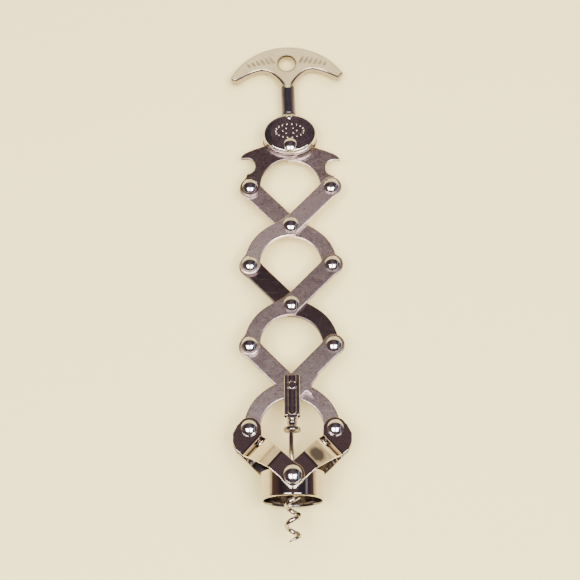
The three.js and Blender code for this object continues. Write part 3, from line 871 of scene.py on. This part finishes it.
class CORKSCREW_OT_rivets(bpy.types.Operator):
    """Turn the links' domed rivets"""

    bl_idname = "corkscrew.rivets"
    bl_label = "Rivets"

    def execute(self, context):
        looks = context.scene.corkscrew_rivets
        material = polished(looks)
        height, tail_height, rim = looks.head_height / MM, looks.tail_height / MM, looks.rim / MM
        for node, body in RIVETS.items():
            low, high = span(node)
            x, y = (low[:2] + high[:2]) / 2
            crown, tail = high[2], -low[2]
            front = dome_profile(looks.head_radius / MM, crown - height, height, rim)
            back = dome_profile(looks.tail_radius / MM, tail - tail_height, tail_height, rim / 2)
            profile = rivet_profile(front, back, looks.shank / MM)
            # what lies nearer the middle plane than the dome's rim is the foot, which gets painted shade
            solid = turned(profile, upright(x, y), 64, crown - height + rim - 0.05)
            finished(node, solid, body, material)
        return {"FINISHED"}


class CORKSCREW_OT_straps(bpy.types.Operator):
    """Fold the four sheet straps"""

    bl_idname = "corkscrew.straps"
    bl_label = "Straps"

    def execute(self, context):
        looks = context.scene.corkscrew_straps
        for name, side in (("left", -1), ("right", 1)):
            for layer, facing in LAYERS.items():
                self.fold(looks, name, side, layer, facing)
        return {"FINISHED"}

    def fold(self, looks, name, side, layer, facing):
        node = f"{layer}_strap_{name}"
        low, high = span(node)
        crest = max(abs(low[2]), abs(high[2]))
        thickness = looks.thickness / MM
        ear_face = LINK_HIGH + LAYER_GAP + thickness
        reach = float(np.hypot(*STRAP_EAR))
        fold, knee, flat = reach - 7.6, reach - 10.6, 10.9
        skew = math.radians(9.36)
        turn = math.pi / 2 - side * (math.atan2(STRAP_EAR[0], STRAP_EAR[1]) + skew)
        along = np.array((math.cos(turn), math.sin(turn)))
        across = side * np.array((along[1], -along[0]))

        ear = np.array((side * STRAP_EAR[0], STRAP_EAR[1]))
        shape = self.flat_shape(looks, along, across, flat, fold, ear)
        stations, face = self.folded_line(flat, knee, fold, crest, ear_face)
        slope = np.gradient(face, stations)

        def place(x, y, depth):
            """Lays the strap's plan on the folded line, and its thickness square to that line."""
            s = x * along[0] + y * along[1]
            t = x * across[0] + y * across[1]
            rise = np.interp(s, stations, slope)
            tilt = 1 / np.sqrt(1 + rise * rise)
            height = np.interp(s, stations, face) - tilt * depth
            s = s + rise * tilt * depth
            return s * along[0] + t * across[0], s * along[1] + t * across[1], facing * height

        margin = 12
        loops = outlined(shape, np.minimum(ear, 0) - margin, np.maximum(ear, 0) + margin, 0.5)
        hole = 1.75 if side < 0 else 3.1
        loops += [circle((0, 0), hole), circle(ear, PIVOT_HOLE)]
        grid = self.inner_points(shape, along, across, knee, fold, ear)
        grid = grid[np.hypot(*grid.T) > hole + 0.9]
        solid = plate(loops, thickness, looks.edge / MM, place, grid, steps=3)
        patch = None
        if node == "front_strap_right":
            patch_station = 16.2
            middle = TOOL @ Vector(place(*(along * patch_station), 0.0))
            patch = (middle, looks.stain_radius, looks.stain)
        # the back straps' colour is 0.42 of the front straps': painted shade for the back of the tool
        shade = 1.0 if facing > 0 else 0.42
        material = nickel(
            f"folded_nickel_{node}", shaded(looks.bright, shade), looks.dull, looks.roughness,
            tarnish=0.42, grain=0.35, brush=turn, wear=0.5, patch=patch,
        )
        finished(node, solid, f"{name}_straps", material)

    @staticmethod
    def flat_shape(looks, along, across, flat, fold, ear):
        """A strap's plan: a strip that widens to its fold, with a round ear over the link."""

        def at(s, t):
            return s * along - t * across

        ear_half, half = looks.ear_half_width / MM, looks.half_width / MM
        strip = polygon([
            at(0, -half), at(flat, -half), at(fold, -ear_half), at(fold + 4.5, -ear_half - 0.2),
            at(fold + 8.5, -ear_half + 1.6), at(fold + 11.5, -ear_half + 4.9),
            at(fold + 12.8, ear_half - 3.4), at(fold + 7.0, ear_half - 1.0),
            at(fold + 4.0, ear_half + 3.9), at(fold, ear_half), at(flat, half), at(0, half),
        ])
        return joined([strip, disc((0, 0), half + 0.5), disc(ear, looks.ear_radius / MM)], 0.8)

    @staticmethod
    def folded_line(flat, knee, fold, crest, ear_face):
        """Heights of a strap's outer face along its length: flat, down a bowed slope, then the ear."""
        line = np.array(softened([
            (-60, crest), (flat, crest), (flat + 1.2, crest - 0.55), (knee, ear_face + 4.95),
            (fold, ear_face), (90, ear_face),
        ], 1.9, 9))
        stations = np.linspace(-10, 45, 1200)
        slope_part = np.clip((stations - flat) / (knee - flat), 0, 1)
        return stations, np.interp(stations, *line.T) + 0.55 * np.sin(slope_part * math.pi)

    @staticmethod
    def inner_points(shape, along, across, knee, fold, ear):
        """Points inside the sheet, closer together where it bends."""
        stations = np.concatenate([
            np.arange(-8, 9, 2.0), np.arange(9, 14, 0.4), np.arange(14, knee - 2, 1.0),
            np.arange(knee - 2, fold + 2, 0.25), np.arange(fold + 2, fold + 16, 2.0),
        ])
        ts = np.arange(-14, 14, 1.0)
        grid = np.array([s * along + t * across for s in stations for t in ts])
        keep = shape(grid[:, 0], grid[:, 1]) < -0.9
        keep &= np.hypot(grid[:, 0], grid[:, 1]) > 2.6
        keep &= np.hypot(grid[:, 0] - ear[0], grid[:, 1] - ear[1]) > 3.0
        return grid[keep]


class CORKSCREW_OT_collar(bpy.types.Operator):
    """Draw the collar and turn its two rivets"""

    bl_idname = "corkscrew.collar"
    bl_label = "Collar"

    def execute(self, context):
        looks = context.scene.corkscrew_collar
        low, high = span("collar")
        radius, top, foot = high[0], high[1], low[1]
        bore = radius - looks.wall / MM
        bead = looks.bead / MM
        profile = softened([
            (bore, foot + 3 * bead), (bore - bead, foot + 2 * bead), (bore - bead / 2, foot),
            (radius - bead, foot), (radius, foot + bead), (radius, foot + 2.6 * bead), (radius, top - 0.6),
            (radius, top), (bore, top), (bore, top - 0.6), (bore, foot + 5 * bead), (bore, foot + 3 * bead),
        ], 0.3)[:-1]
        points, faces, _ = turned(profile, lengthwise(), 160)
        inside = (np.hypot(points[:, 0], points[:, 2]) < bore + 0.02).astype(float)
        solid = (points, faces, inside)
        material = nickel(
            "drawn_nickel_collar", looks.bright, shaded(looks.bright, 0.8), looks.roughness,
            tarnish=0.35, grain=0.18, brush=0.0, edge_steel_and_shade=looks.inside,
        )
        finished("collar", solid, "collar", material)
        for name, facing in LAYERS.items():
            self.turn_rivet(context, f"collar_rivet_{name}", facing)
        return {"FINISHED"}

    @staticmethod
    def turn_rivet(context, node, facing):
        looks = context.scene.corkscrew_rivets
        low, high = span(node)
        crown = max(abs(low[2]), abs(high[2]))
        foot = min(abs(low[2]), abs(high[2]))
        base, rim = crown - looks.collar_height / MM, looks.rim / MM
        inner, shank, inner_top = 2.8, 1.5, foot + 1.1
        head = softened([
            (0, foot), (inner, foot), (inner, inner_top), (shank, inner_top), (shank, base),
        ], 0.2)
        profile = head + dome_profile(looks.collar_radius / MM, base, looks.collar_height / MM, rim)
        # what lies nearer the middle plane than the dome's rim is the foot, which gets painted shade
        solid = turned(profile, upright(facing=facing), 72, base + rim - 0.05)
        finished(node, solid, "collar_rivets", polished(looks, f"polished_nickel_{node}"))


class CORKSCREW_OT_holder(bpy.types.Operator):
    """Make the worm's fluted holder, its pin and its ferrule"""

    bl_idname = "corkscrew.holder"
    bl_label = "Worm holder"

    def execute(self, context):
        looks = context.scene.corkscrew_worm
        low, high = span("worm_holder")
        half, top, foot = high[0], high[1], low[1]
        cheek_low, cheek_high = LINK_HIGH + LAYER_GAP, high[2]
        flute = looks.flute / MM
        middle, tall = (top + foot) / 2, (top - foot) / 2
        cheek = self.rounded_box((0, middle + 0.6), half, tall - 0.6, 0.5)
        round_over, panel_half = 1.3, half - 1.9
        panel = self.rounded_box((0, middle + 2.2), panel_half, tall + 1.2, 2.0)
        spacing = 0.3
        box_low, box_high = (-half - 2, foot - 2), (half + 2, top + 2)
        loops = outlined(cheek, box_low, box_high, spacing) + [circle((0, LOWEST), PIVOT_HOLE, spacing)]
        xs, ys = np.meshgrid(np.arange(-half, half, 0.24), np.arange(foot, top, 0.24))
        grid = np.column_stack([xs.ravel(), ys.ravel()])
        grid = grid[(cheek(*grid.T) < -0.5) & (np.hypot(grid[:, 0], grid[:, 1] - LOWEST) > 2.6)]

        def surface(x, y):
            """The cheek's face: rounded long edges and a sunk panel with a crowned floor."""
            near = np.clip((np.abs(x) - half + round_over) / round_over, 0, 1)
            rounded = round_over * (1 - np.sqrt(1 - near**2 * 0.96))
            sunk = np.clip(-panel(x, y) / 0.45, 0, 1)
            crown = 0.45 * (1 - np.clip(x / panel_half, -1, 1) ** 2)
            return cheek_high - rounded - sunk * (flute + 0.25 - crown)

        solids = []
        for facing in LAYERS.values():
            place = self.cheek_place(surface, cheek_low, cheek_high, facing)
            solids.append(plate(loops, cheek_high - cheek_low, 0.15, place, grid))
        bridge = outlined(self.rounded_box((0, foot + 1.15), 2.75, 1.55, 0.5), box_low, box_high, spacing)
        bridge_face = cheek_high - 0.7
        solids.append(plate(bridge, 2 * bridge_face, 0.35, flat_from(bridge_face)))
        material = nickel(
            "fluted_nickel_holder", looks.bright, looks.dull, looks.roughness, tarnish=0.55, grain=0.45,
            brush=math.pi / 2, wear=0.6,
        )
        finished("worm_holder", together(*solids), "worm", material)
        self.make_pin(material)
        self.make_ferrule(looks)
        return {"FINISHED"}

    @staticmethod
    def rounded_box(centre, half_x, half_y, corner):
        def distance(x, y):
            dx = np.abs(x - centre[0]) - half_x + corner
            dy = np.abs(y - centre[1]) - half_y + corner
            outside = np.hypot(np.maximum(dx, 0), np.maximum(dy, 0))
            return outside + np.minimum(np.maximum(dx, dy), 0) - corner

        return distance

    @staticmethod
    def cheek_place(surface, low, high, facing):
        """Puts a cheek's outer face on a curved surface and leaves its inner face flat."""

        def place(x, y, depth):
            part = depth / (high - low)
            return x, y, facing * (surface(x, y) * (1 - part) + low * part)

        return place

    @staticmethod
    def make_pin(material):
        end, radius = span("worm_pin")[1][2], 1.9
        profile = softened([(0, -end), (radius, -end), (radius, end), (0, end)], 0.35, 6)
        solid = turned(profile, upright(0, LOWEST), 48)
        finished("worm_pin", solid, "worm_pin", material)

    @staticmethod
    def make_ferrule(looks):
        low, high = span("worm_ferrule")
        bottom, tall = low[1], high[1] - low[1]
        bore, neck, collet, flange = looks.wire / MM + 0.12, 2.5, 2.75, 4.4
        profile = softened([
            (bore, 0.5), (neck + 0.1, 0.4), (flange - 0.3, 0), (flange, 0.35), (flange, 1.7),
            (flange - 0.3, 2.0), (neck + 0.4, 2.25), (neck, 2.7), (neck, 4.3), (collet, 4.45), (collet, 4.8),
            (neck, 4.95), (neck, tall), (bore, tall), (bore, 0.5),
        ], 0.25, 5)
        solid = turned(profile[:-1], lengthwise(bottom), 72)
        material = nickel(
            "turned_nickel_ferrule", shaded(looks.bright, 0.62), looks.dull, looks.roughness,
            tarnish=0.6, grain=0.3, brush=0.0,
        )
        finished("worm_ferrule", solid, "worm", material)


class CORKSCREW_OT_worm(bpy.types.Operator):
    """Coil the worm from one wire and point it"""

    bl_idname = "corkscrew.worm"
    bl_label = "Worm"

    def execute(self, context):
        looks = context.scene.corkscrew_worm
        wire, coil, pitch = looks.wire / MM, looks.coil / MM, looks.pitch / MM
        tip, tip_turn = LOWEST - 77.6, math.radians(-30)
        seat = span("worm")[1][1] - 1.2
        turn = np.linspace(-0.035, looks.turns, 260)
        gathering = 0.45
        radius = coil * np.minimum(1, np.sqrt((looks.turns - turn) / gathering))
        angle = tip_turn + 2 * math.pi * turn
        path = np.column_stack([radius * np.sin(angle), tip + pitch * turn, radius * np.cos(angle)])
        rise = np.linspace(0.02, 1, 60)
        bow = looks.bow / MM * np.sin(math.pi * rise)
        shank = np.column_stack([-0.5 * bow, path[-1, 1] + rise * (seat - path[-1, 1]), bow])
        path = self.smoothed(np.vstack([path, shank]), 0.35, 5)
        run = np.concatenate([[0], np.cumsum(np.linalg.norm(np.diff(path, axis=0), axis=1))])
        point_length = 7.0
        taper = np.clip((run + 0.3) / point_length, 0.1, 1) ** 0.6
        screw = swept(path, wire * taper)
        neck, head_radius = wire * 0.9, 2.2
        profile = softened([
            (0, -0.6), (neck, -0.6), (neck, 0), (head_radius, 0), (head_radius, 0.8), (0, 1.15),
        ], 0.3)
        head = turned(profile, lengthwise(seat), 48)
        material = nickel(
            "drawn_nickel_worm", shaded(looks.bright, 0.72), looks.dull, looks.roughness,
            tarnish=0.5, grain=0.2,
        )
        finished("worm", together(screw, head), "worm", material)
        return {"FINISHED"}

    @staticmethod
    def smoothed(path, spacing, width):
        """A path with even points, averaged along its length."""
        run = np.concatenate([[0], np.cumsum(np.linalg.norm(np.diff(path, axis=0), axis=1))])
        stations = np.arange(0, run[-1], spacing)
        even = np.column_stack([np.interp(stations, run, path[:, k]) for k in range(3)])
        weights = np.hanning(2 * width + 3)[1:-1]
        weights /= weights.sum()
        padded = np.vstack([even[:1]] * width + [even] + [even[-1:]] * width)
        return np.column_stack([np.convolve(padded[:, k], weights, "valid") for k in range(3)])


class CORKSCREW_OT_button(bpy.types.Operator):
    """Press the button's shells, set their rivets and raise a ring of beads"""

    bl_idname = "corkscrew.button"
    bl_label = "Button"

    def execute(self, context):
        looks = context.scene.corkscrew_button
        low, high = span("button_front_shell", HANDLE.inverted())
        rim_x = (high[0] - low[0]) / 2
        rim_y = (high[1] - low[1]) / 2
        centre = (low[1] + high[1]) / 2
        mouth, face = low[2], high[2]
        material = nickel(
            "pressed_nickel_button", looks.bright, looks.dull, looks.roughness, tarnish=0.52, grain=0.3
        )
        wall, rim = 0.9, rim_x - 0.5
        section = softened([
            (0, face - wall), (rim * 0.66, face - wall - 0.3), (rim * 0.86, face - wall - 0.9),
            (rim - wall, face - 2.6), (rim - wall, mouth), (rim + 0.5, mouth), (rim + 0.5, mouth + 0.75),
            (rim + 0.02, mouth + 1.15), (rim, face - 1.7), (rim * 0.95, face - 0.75),
            (rim * 0.7, face - 0.22), (0, face),
        ], 0.5, 6)
        for name, facing in LAYERS.items():
            shell = turned(section, self.oval(centre, rim_y / rim_x, facing), 144)
            finished(f"button_{name}_shell", shell, "handle", material, HANDLE)
        self.set_rivets(context, material)
        beads = self.beads(looks, centre, face)
        finished(None, beads, "handle", material, HANDLE, "button_beading")
        return {"FINISHED"}

    @staticmethod
    def oval(centre, ratio, facing):
        return lambda x, y, z: (x, y * ratio + centre, z * facing)

    @staticmethod
    def set_rivets(context, material):
        looks = context.scene.corkscrew_rivets
        crown, height = span("top_rivet")[1][2], looks.top_height / MM
        dome = dome_profile(looks.top_radius / MM, crown - height, height, looks.rim / MM)
        rivet = turned(rivet_profile(dome, dome, 1.6), upright(), 64)
        bright = polished(looks, "polished_nickel_top_rivet")
        finished("top_rivet", rivet, "top_pivot", bright, HANDLE)
        low, high = span("tang_rivet", HANDLE.inverted())
        x, y = (low[:2] + high[:2]) / 2
        height = 1.5
        dome = dome_profile(1.9, high[2] - 0.25 - height, height, 0.3, 10)
        pin = turned(rivet_profile(dome, dome, 1.3), upright(x, y), 40)
        finished("tang_rivet", pin, "handle", material, HANDLE)

    @staticmethod
    def beads(looks, centre, face):
        """Small flattened beads in an oval ring, with a smaller ring inside it."""
        radius = looks.bead / MM
        wide, tall = looks.ring_width / MM, looks.ring_height / MM
        angles = np.linspace(0, 2 * math.pi, 18, endpoint=False)
        places = [(wide * math.cos(angle), tall * math.sin(angle)) for angle in angles]
        places += [(x * 0.5, y * 0.4) for x, y in places[::3]]
        profile = [(radius * math.sin(a), 0.55 * radius * math.cos(a)) for a in np.linspace(math.pi, 0, 9)]
        middle, height = centre + 1.0, face - 0.12
        return together(*(turned(profile, upright(x, middle + y, height), 16) for x, y in places))


class CORKSCREW_OT_handle(bpy.types.Operator):
    """Forge the handle: crescent, neck, shank and tang, with raised ornament"""

    bl_idname = "corkscrew.handle"
    bl_label = "Handle"

    def execute(self, context):
        looks = context.scene.corkscrew_handle
        # the satin faces' beige is partly a painted reflection of the cream paper round the tool
        material = nickel(
            "satin_nickel_painted_reflection_handle", looks.bright, looks.dull, looks.roughness, tarnish=0.35, grain=0.6,
            brush=0.3, metal=looks.metal, edge_steel_and_shade=looks.steel,
        )
        half_span, top, _ = span("handle", HANDLE.inverted())[1]
        hole = (0.0, top - 10.2)
        loops = [evened(self.crescent(top, half_span), 0.5), circle(hole, looks.hole_radius / MM)]
        face, neck_face = looks.thickness / MM / 2, 3.75

        def swell(y):
            """How far the neck has grown from the crescent's thickness to the shank's."""
            t = np.clip((47.0 - y) / 9.0, 0, 1)
            return t * t * (3 - 2 * t)

        def place(x, y, depth):
            half = face + (neck_face - face) * swell(y)
            return x, y, half * (1 - depth / face)

        def rounding(loop):
            """The edge's radius, which grows at the neck until its sides are round."""
            edge, neck_edge = looks.edge / MM, 3.1
            near = np.clip((46.5 - loop[:, 1]) / 7.5, 0, 1) * (np.abs(loop[:, 0]) < 9)
            return edge + (neck_edge - edge) * near

        grid = self.inner_points(loops, top, half_span, hole)
        crescent = plate(loops, 2 * face, rounding, place, grid, steps=7)
        self.turn_shank(looks)
        tang_half, tang_low, tang_high = 2.9, 12.0, 21.4
        tang_outline = np.array([
            (-tang_half, tang_low), (tang_half, tang_low), (tang_half, tang_high), (-tang_half, tang_high),
        ])
        tang = plate([evened(tang_outline, 0.5)], 3.6, 0.3, flat_from(1.8))
        finished("handle", together(crescent, tang), "handle", material, HANDLE)
        # the ornament takes the faces' colour darkened, and with it their painted reflection of the cream
        # paper
        worn = nickel(
            "worn_nickel_ornament", shaded(looks.bright, 0.55), looks.dull, looks.roughness,
            tarnish=0.6, grain=0.7, metal=0.6,
        )
        ornament = self.ornament(looks, hole, face)
        finished(None, ornament, "handle", worn, HANDLE, "handle_ornament")
        return {"FINISHED"}

    @staticmethod
    def turn_shank(looks):
        """The dark round shank between the button and the neck."""
        foot, radius = 20.5, 3.65
        profile = softened([
            (0, foot), (radius - 0.45, foot), (radius, foot + 0.6), (radius, 37.0), (2.6, 40.0), (0, 42.0),
        ], 0.5)
        shank = turned(profile, lengthwise(), 72)
        dark = nickel(
            "oxidised_nickel_shank", looks.shank, shaded(looks.shank, 0.5), 0.24,
            tarnish=0.4, grain=0.5, brush=math.pi / 2, metal=0.9,
        )
        finished(None, shank, "handle", dark, HANDLE, "handle_shank")

    @staticmethod
    def arc(centre, radius, start, end, count):
        angles = np.linspace(start, end, count)
        return [(centre[0] + radius * math.cos(a), centre[1] + radius * math.sin(a)) for a in angles]

    @staticmethod
    def bezier(*controls, count=40):
        """Points on a cubic curve."""
        t = np.linspace(0, 1, count)
        weights = np.column_stack([(1 - t) ** 3, 3 * t * (1 - t) ** 2, 3 * t**2 * (1 - t), t**3])
        return [tuple(p) for p in weights @ np.array(controls)]

    def crescent(self, top, half_span):
        """The crescent's outline, anticlockwise from the right tip, which is cut straight."""
        tip, sag, hollow_x, crest = 2.2, 18.2, 13.5, top - 14.2
        tip_x, tip_y = half_span - tip, top - sag
        radius = (tip_x**2 + sag**2 - tip**2) / (2 * (sag - tip))
        centre = top - radius
        lean = math.atan2(tip_y - centre, tip_x)
        under = 0.38 * math.pi
        neck_x, neck_y = 3.3, 37.6
        crown = self.arc((0, centre), radius, lean, math.pi - lean, 140)
        left_tip = self.arc((-tip_x, tip_y), tip, math.pi - lean, 2 * math.pi - under, 24)
        leave_x, leave_y = -tip_x + tip * math.cos(under), tip_y - tip * math.sin(under)
        hollow = self.bezier(
            (leave_x, leave_y), (leave_x + 3.4, leave_y + 1.5), (-hollow_x - 5.5, crest), (-hollow_x, crest),
        )
        hollow += self.bezier(
            (-hollow_x, crest), (-hollow_x + 5.0, crest), (-neck_x - 2.2, neck_y + 4.6), (-neck_x, neck_y),
        )
        neck = self.arc((0, neck_y - 1.0), neck_x, math.pi, 2 * math.pi, 14)
        right_hollow = [(-x, y) for x, y in hollow[::-1]]
        whole = np.array(crown + left_tip + hollow + neck + right_hollow)
        keep = np.concatenate([[True], np.linalg.norm(np.diff(whole, axis=0), axis=1) > 1e-4])
        return whole[keep]

    @staticmethod
    def inner_points(loops, top, half_span, hole):
        """Points inside the face, so that it can swell towards the neck."""
        xs, ys = np.meshgrid(np.arange(-half_span, half_span, 1.1), np.arange(36, top, 1.1))
        grid = np.column_stack([xs.ravel(), ys.ravel()])
        inside = polygon(evened(loops[0], 1.0))(grid[:, 0], grid[:, 1]) < -2.6
        inside &= np.hypot(grid[:, 0] - hole[0], grid[:, 1] - hole[1]) > 6.2
        return grid[inside]

    def ornament(self, looks, hole, face):
        """A raised ring round the hole and a row of parallel leaves on either wing."""
        rise, sunk = looks.relief / MM, 0.3
        inner = looks.hole_radius / MM + 0.35
        outer = inner + 0.5
        ring = softened([(inner, -sunk), (outer, -sunk), (outer, rise), (inner, rise), (inner, -sunk)], 0.2)
        solids = [turned(ring[:-1], upright(*hole, face))]
        for side in (-1, 1):
            for number in range(6):
                solids.append(self.leaf(side, number, hole, face, rise))
        return together(*solids)

    @staticmethod
    def leaf(side, number, hole, face, rise):
        """One slender leaf of a wing's row, leaning outwards."""
        out = 8.0 + 2.5 * number
        centre = np.array((side * out, hole[1] + 2.4 - 0.0083 * out * out))
        lean = math.pi / 2 - side * math.radians(32)
        ts = np.linspace(0, 2 * math.pi, 28, endpoint=False)
        long, wide = 2.6 - 0.22 * number, 0.75
        shape = np.column_stack([long * np.cos(ts), wide * np.sin(ts) * (1 - 0.35 * np.cos(ts))])
        turn = np.array(((math.cos(lean), -math.sin(lean)), (math.sin(lean), math.cos(lean))))
        loop = shape @ turn.T + centre
        return plate([evened(loop, 0.3)], rise + 0.3, 0.25, flat_from(face + rise), steps=3, ledge=0.03)


class CORKSCREW_OT_stage(bpy.types.Operator):
    """Set the paper floor, the softboxes, the room and the camera"""

    bl_idname = "corkscrew.stage"
    bl_label = "Stage"

    def execute(self, context):
        looks = context.scene.corkscrew_stage
        self.lay_floor(context, looks)
        self.light_room(context, looks)
        self.place_lights(context, looks)
        self.place_camera(context)
        return {"FINISHED"}

    @staticmethod
    def lay_floor(context, looks):
        shaped = bmesh.new()
        bmesh.ops.create_grid(shaped, x_segments=1, y_segments=1, size=4.0)
        mesh = bpy.data.meshes.new("paper_floor")
        shaped.to_mesh(mesh)
        shaped.free()
        material = bpy.data.materials.new("cream_paper")
        material.use_nodes = True
        graph = Graph(material.node_tree)
        where = graph.node("ShaderNodeTexCoord", output="Object")
        fibres = graph.noise(where, 900.0, 3.0)
        body = graph.blend(fibres, rgba(looks.floor, 0.985), rgba(looks.floor, 1.015))
        finish = {"Base Color": body, "Roughness": 0.9, "Specular IOR Level": 0.15}
        shader = graph.node("ShaderNodeBsdfPrincipled", {}, finish)
        graph.node("ShaderNodeOutputMaterial", {}, {"Surface": shader})
        mesh.materials.append(material)
        floor = bpy.data.objects.new("paper_floor", mesh)
        context.scene.collection.objects.link(floor)

    @staticmethod
    def light_room(context, looks):
        """A dark room overhead, with pale paper that sweeps up beyond the handle."""
        world = bpy.data.worlds.new("dark_room")
        world.use_nodes = True
        context.scene.world = world
        graph = Graph(world.node_tree)
        where = graph.node("ShaderNodeTexCoord", output="Generated")
        x, y, z = (graph.node("ShaderNodeSeparateXYZ", {}, {0: where}, k) for k in range(3))
        overhead = graph.ramp(z - y.at_least(0.0) * 0.6, -0.06, 0.05)
        shades = [
            (0.0, (0.16, 0.10, 0.09)), (0.08, (0.13, 0.075, 0.07)), (0.15, (0.05, 0.036, 0.045)),
            (0.36, (0.06, 0.045, 0.06)), (0.42, looks.ceiling), (0.60, looks.ceiling),
            (0.70, (0.05, 0.042, 0.06)), (0.85, (0.06, 0.05, 0.075)), (0.868, (0.42, 0.42, 0.52)),
            (0.892, (0.42, 0.42, 0.52)), (0.91, (0.05, 0.04, 0.05)), (1.0, (0.20, 0.12, 0.11)),
        ]
        room = graph.node("ShaderNodeValToRGB", {"stops": shades}, {"Fac": x * 0.5 + 0.5})
        paper = rgba(looks.surround, looks.surround_strength, limit=9)
        light = graph.blend(overhead, paper, room)
        shader = graph.node("ShaderNodeBackground", {}, {"Color": light, "Strength": 1.0})
        graph.node("ShaderNodeOutputWorld", {}, {"Surface": shader})

    @staticmethod
    def place_lights(context, looks):
        centre = (cad_box[0] + cad_box[1]) / 2
        aside, ahead, height = 0.36, -0.36, 1.14
        for name, side in (("left", -1), ("right", 1)):
            lamp = bpy.data.lights.new(f"softbox_{name}", "AREA")
            lamp.shape = "RECTANGLE"
            lamp.size, lamp.size_y = 0.50, 0.74
            lamp.energy = looks.key
            lamp.color = (1.0, 0.985, 0.96)
            box = bpy.data.objects.new(lamp.name, lamp)
            box.location = centre + Vector((side * aside, ahead, height))
            box.rotation_euler = (math.radians(-17.5), 0, 0)
            context.scene.collection.objects.link(box)
        lamp = bpy.data.lights.new("overhead_fill", "AREA")
        lamp.size = 2.4
        lamp.energy = looks.fill
        lamp.color = (1.0, 0.96, 0.9)
        fill = bpy.data.objects.new(lamp.name, lamp)
        fill.location = centre + Vector((0.25, 0.3, 1.6))
        fill.rotation_euler = (centre - fill.location).to_track_quat("-Z", "Y").to_euler()
        fill.visible_glossy = False
        context.scene.collection.objects.link(fill)

    @staticmethod
    def place_camera(context):
        """The camera looks down from beyond the collar, 20 degrees off the links' normal."""
        camera = bpy.data.cameras.new("camera")
        camera.lens = 90.08
        camera.sensor_width = 36
        tilt, roll, sideways = math.radians(19.87), math.radians(0.37), 0.715
        before, over = -244.4, 699.4
        middle = TOOL @ Vector((0, CROSSINGS["middle"], 0))
        stand = bpy.data.objects.new("camera", camera)
        matrix = (
            laid(middle)
            @ Matrix.Translation((-sideways, 0, 0))
            @ Matrix.Rotation(-roll, 4, "Z")
            @ Matrix.Translation((0, before, over))
            @ Matrix.Rotation(tilt, 4, "X")
        )
        place, turn, _ = matrix.decompose()
        stand.matrix_world = Matrix.Translation(place) @ turn.to_matrix().to_4x4()
        context.scene.collection.objects.link(stand)
        context.scene.camera = stand


class CORKSCREW_PT_pieces(bpy.types.Panel):
    """The corkscrew's pieces"""

    bl_idname = "CORKSCREW_PT_pieces"
    bl_label = "Corkscrew"
    bl_space_type = "VIEW_3D"
    bl_region_type = "UI"
    bl_category = "Corkscrew"

    def draw(self, context):
        for operator in OPERATORS:
            self.layout.operator(operator.bl_idname)


GROUPS = {
    "corkscrew_links": LinkProperties, "corkscrew_rivets": RivetProperties,
    "corkscrew_straps": StrapProperties, "corkscrew_collar": CollarProperties,
    "corkscrew_worm": WormProperties, "corkscrew_button": ButtonProperties,
    "corkscrew_handle": HandleProperties, "corkscrew_stage": StageProperties,
}
OPERATORS = (
    CORKSCREW_OT_links, CORKSCREW_OT_top_links, CORKSCREW_OT_rivets, CORKSCREW_OT_straps, CORKSCREW_OT_collar,
    CORKSCREW_OT_holder, CORKSCREW_OT_worm, CORKSCREW_OT_button, CORKSCREW_OT_handle, CORKSCREW_OT_stage,
)


def register():
    for made in (*GROUPS.values(), *OPERATORS, CORKSCREW_PT_pieces):
        bpy.utils.register_class(made)
    for name, group in GROUPS.items():
        setattr(bpy.types.Scene, name, PointerProperty(type=group))


def unregister():
    for name in GROUPS:
        delattr(bpy.types.Scene, name)
    for made in (CORKSCREW_PT_pieces, *OPERATORS[::-1], *list(GROUPS.values())[::-1]):
        bpy.utils.unregister_class(made)


def main():
    register()
    for operator in OPERATORS:
        group, name = operator.bl_idname.split(".")
        getattr(getattr(bpy.ops, group), name)()


if __name__ == "__main__":
    main()
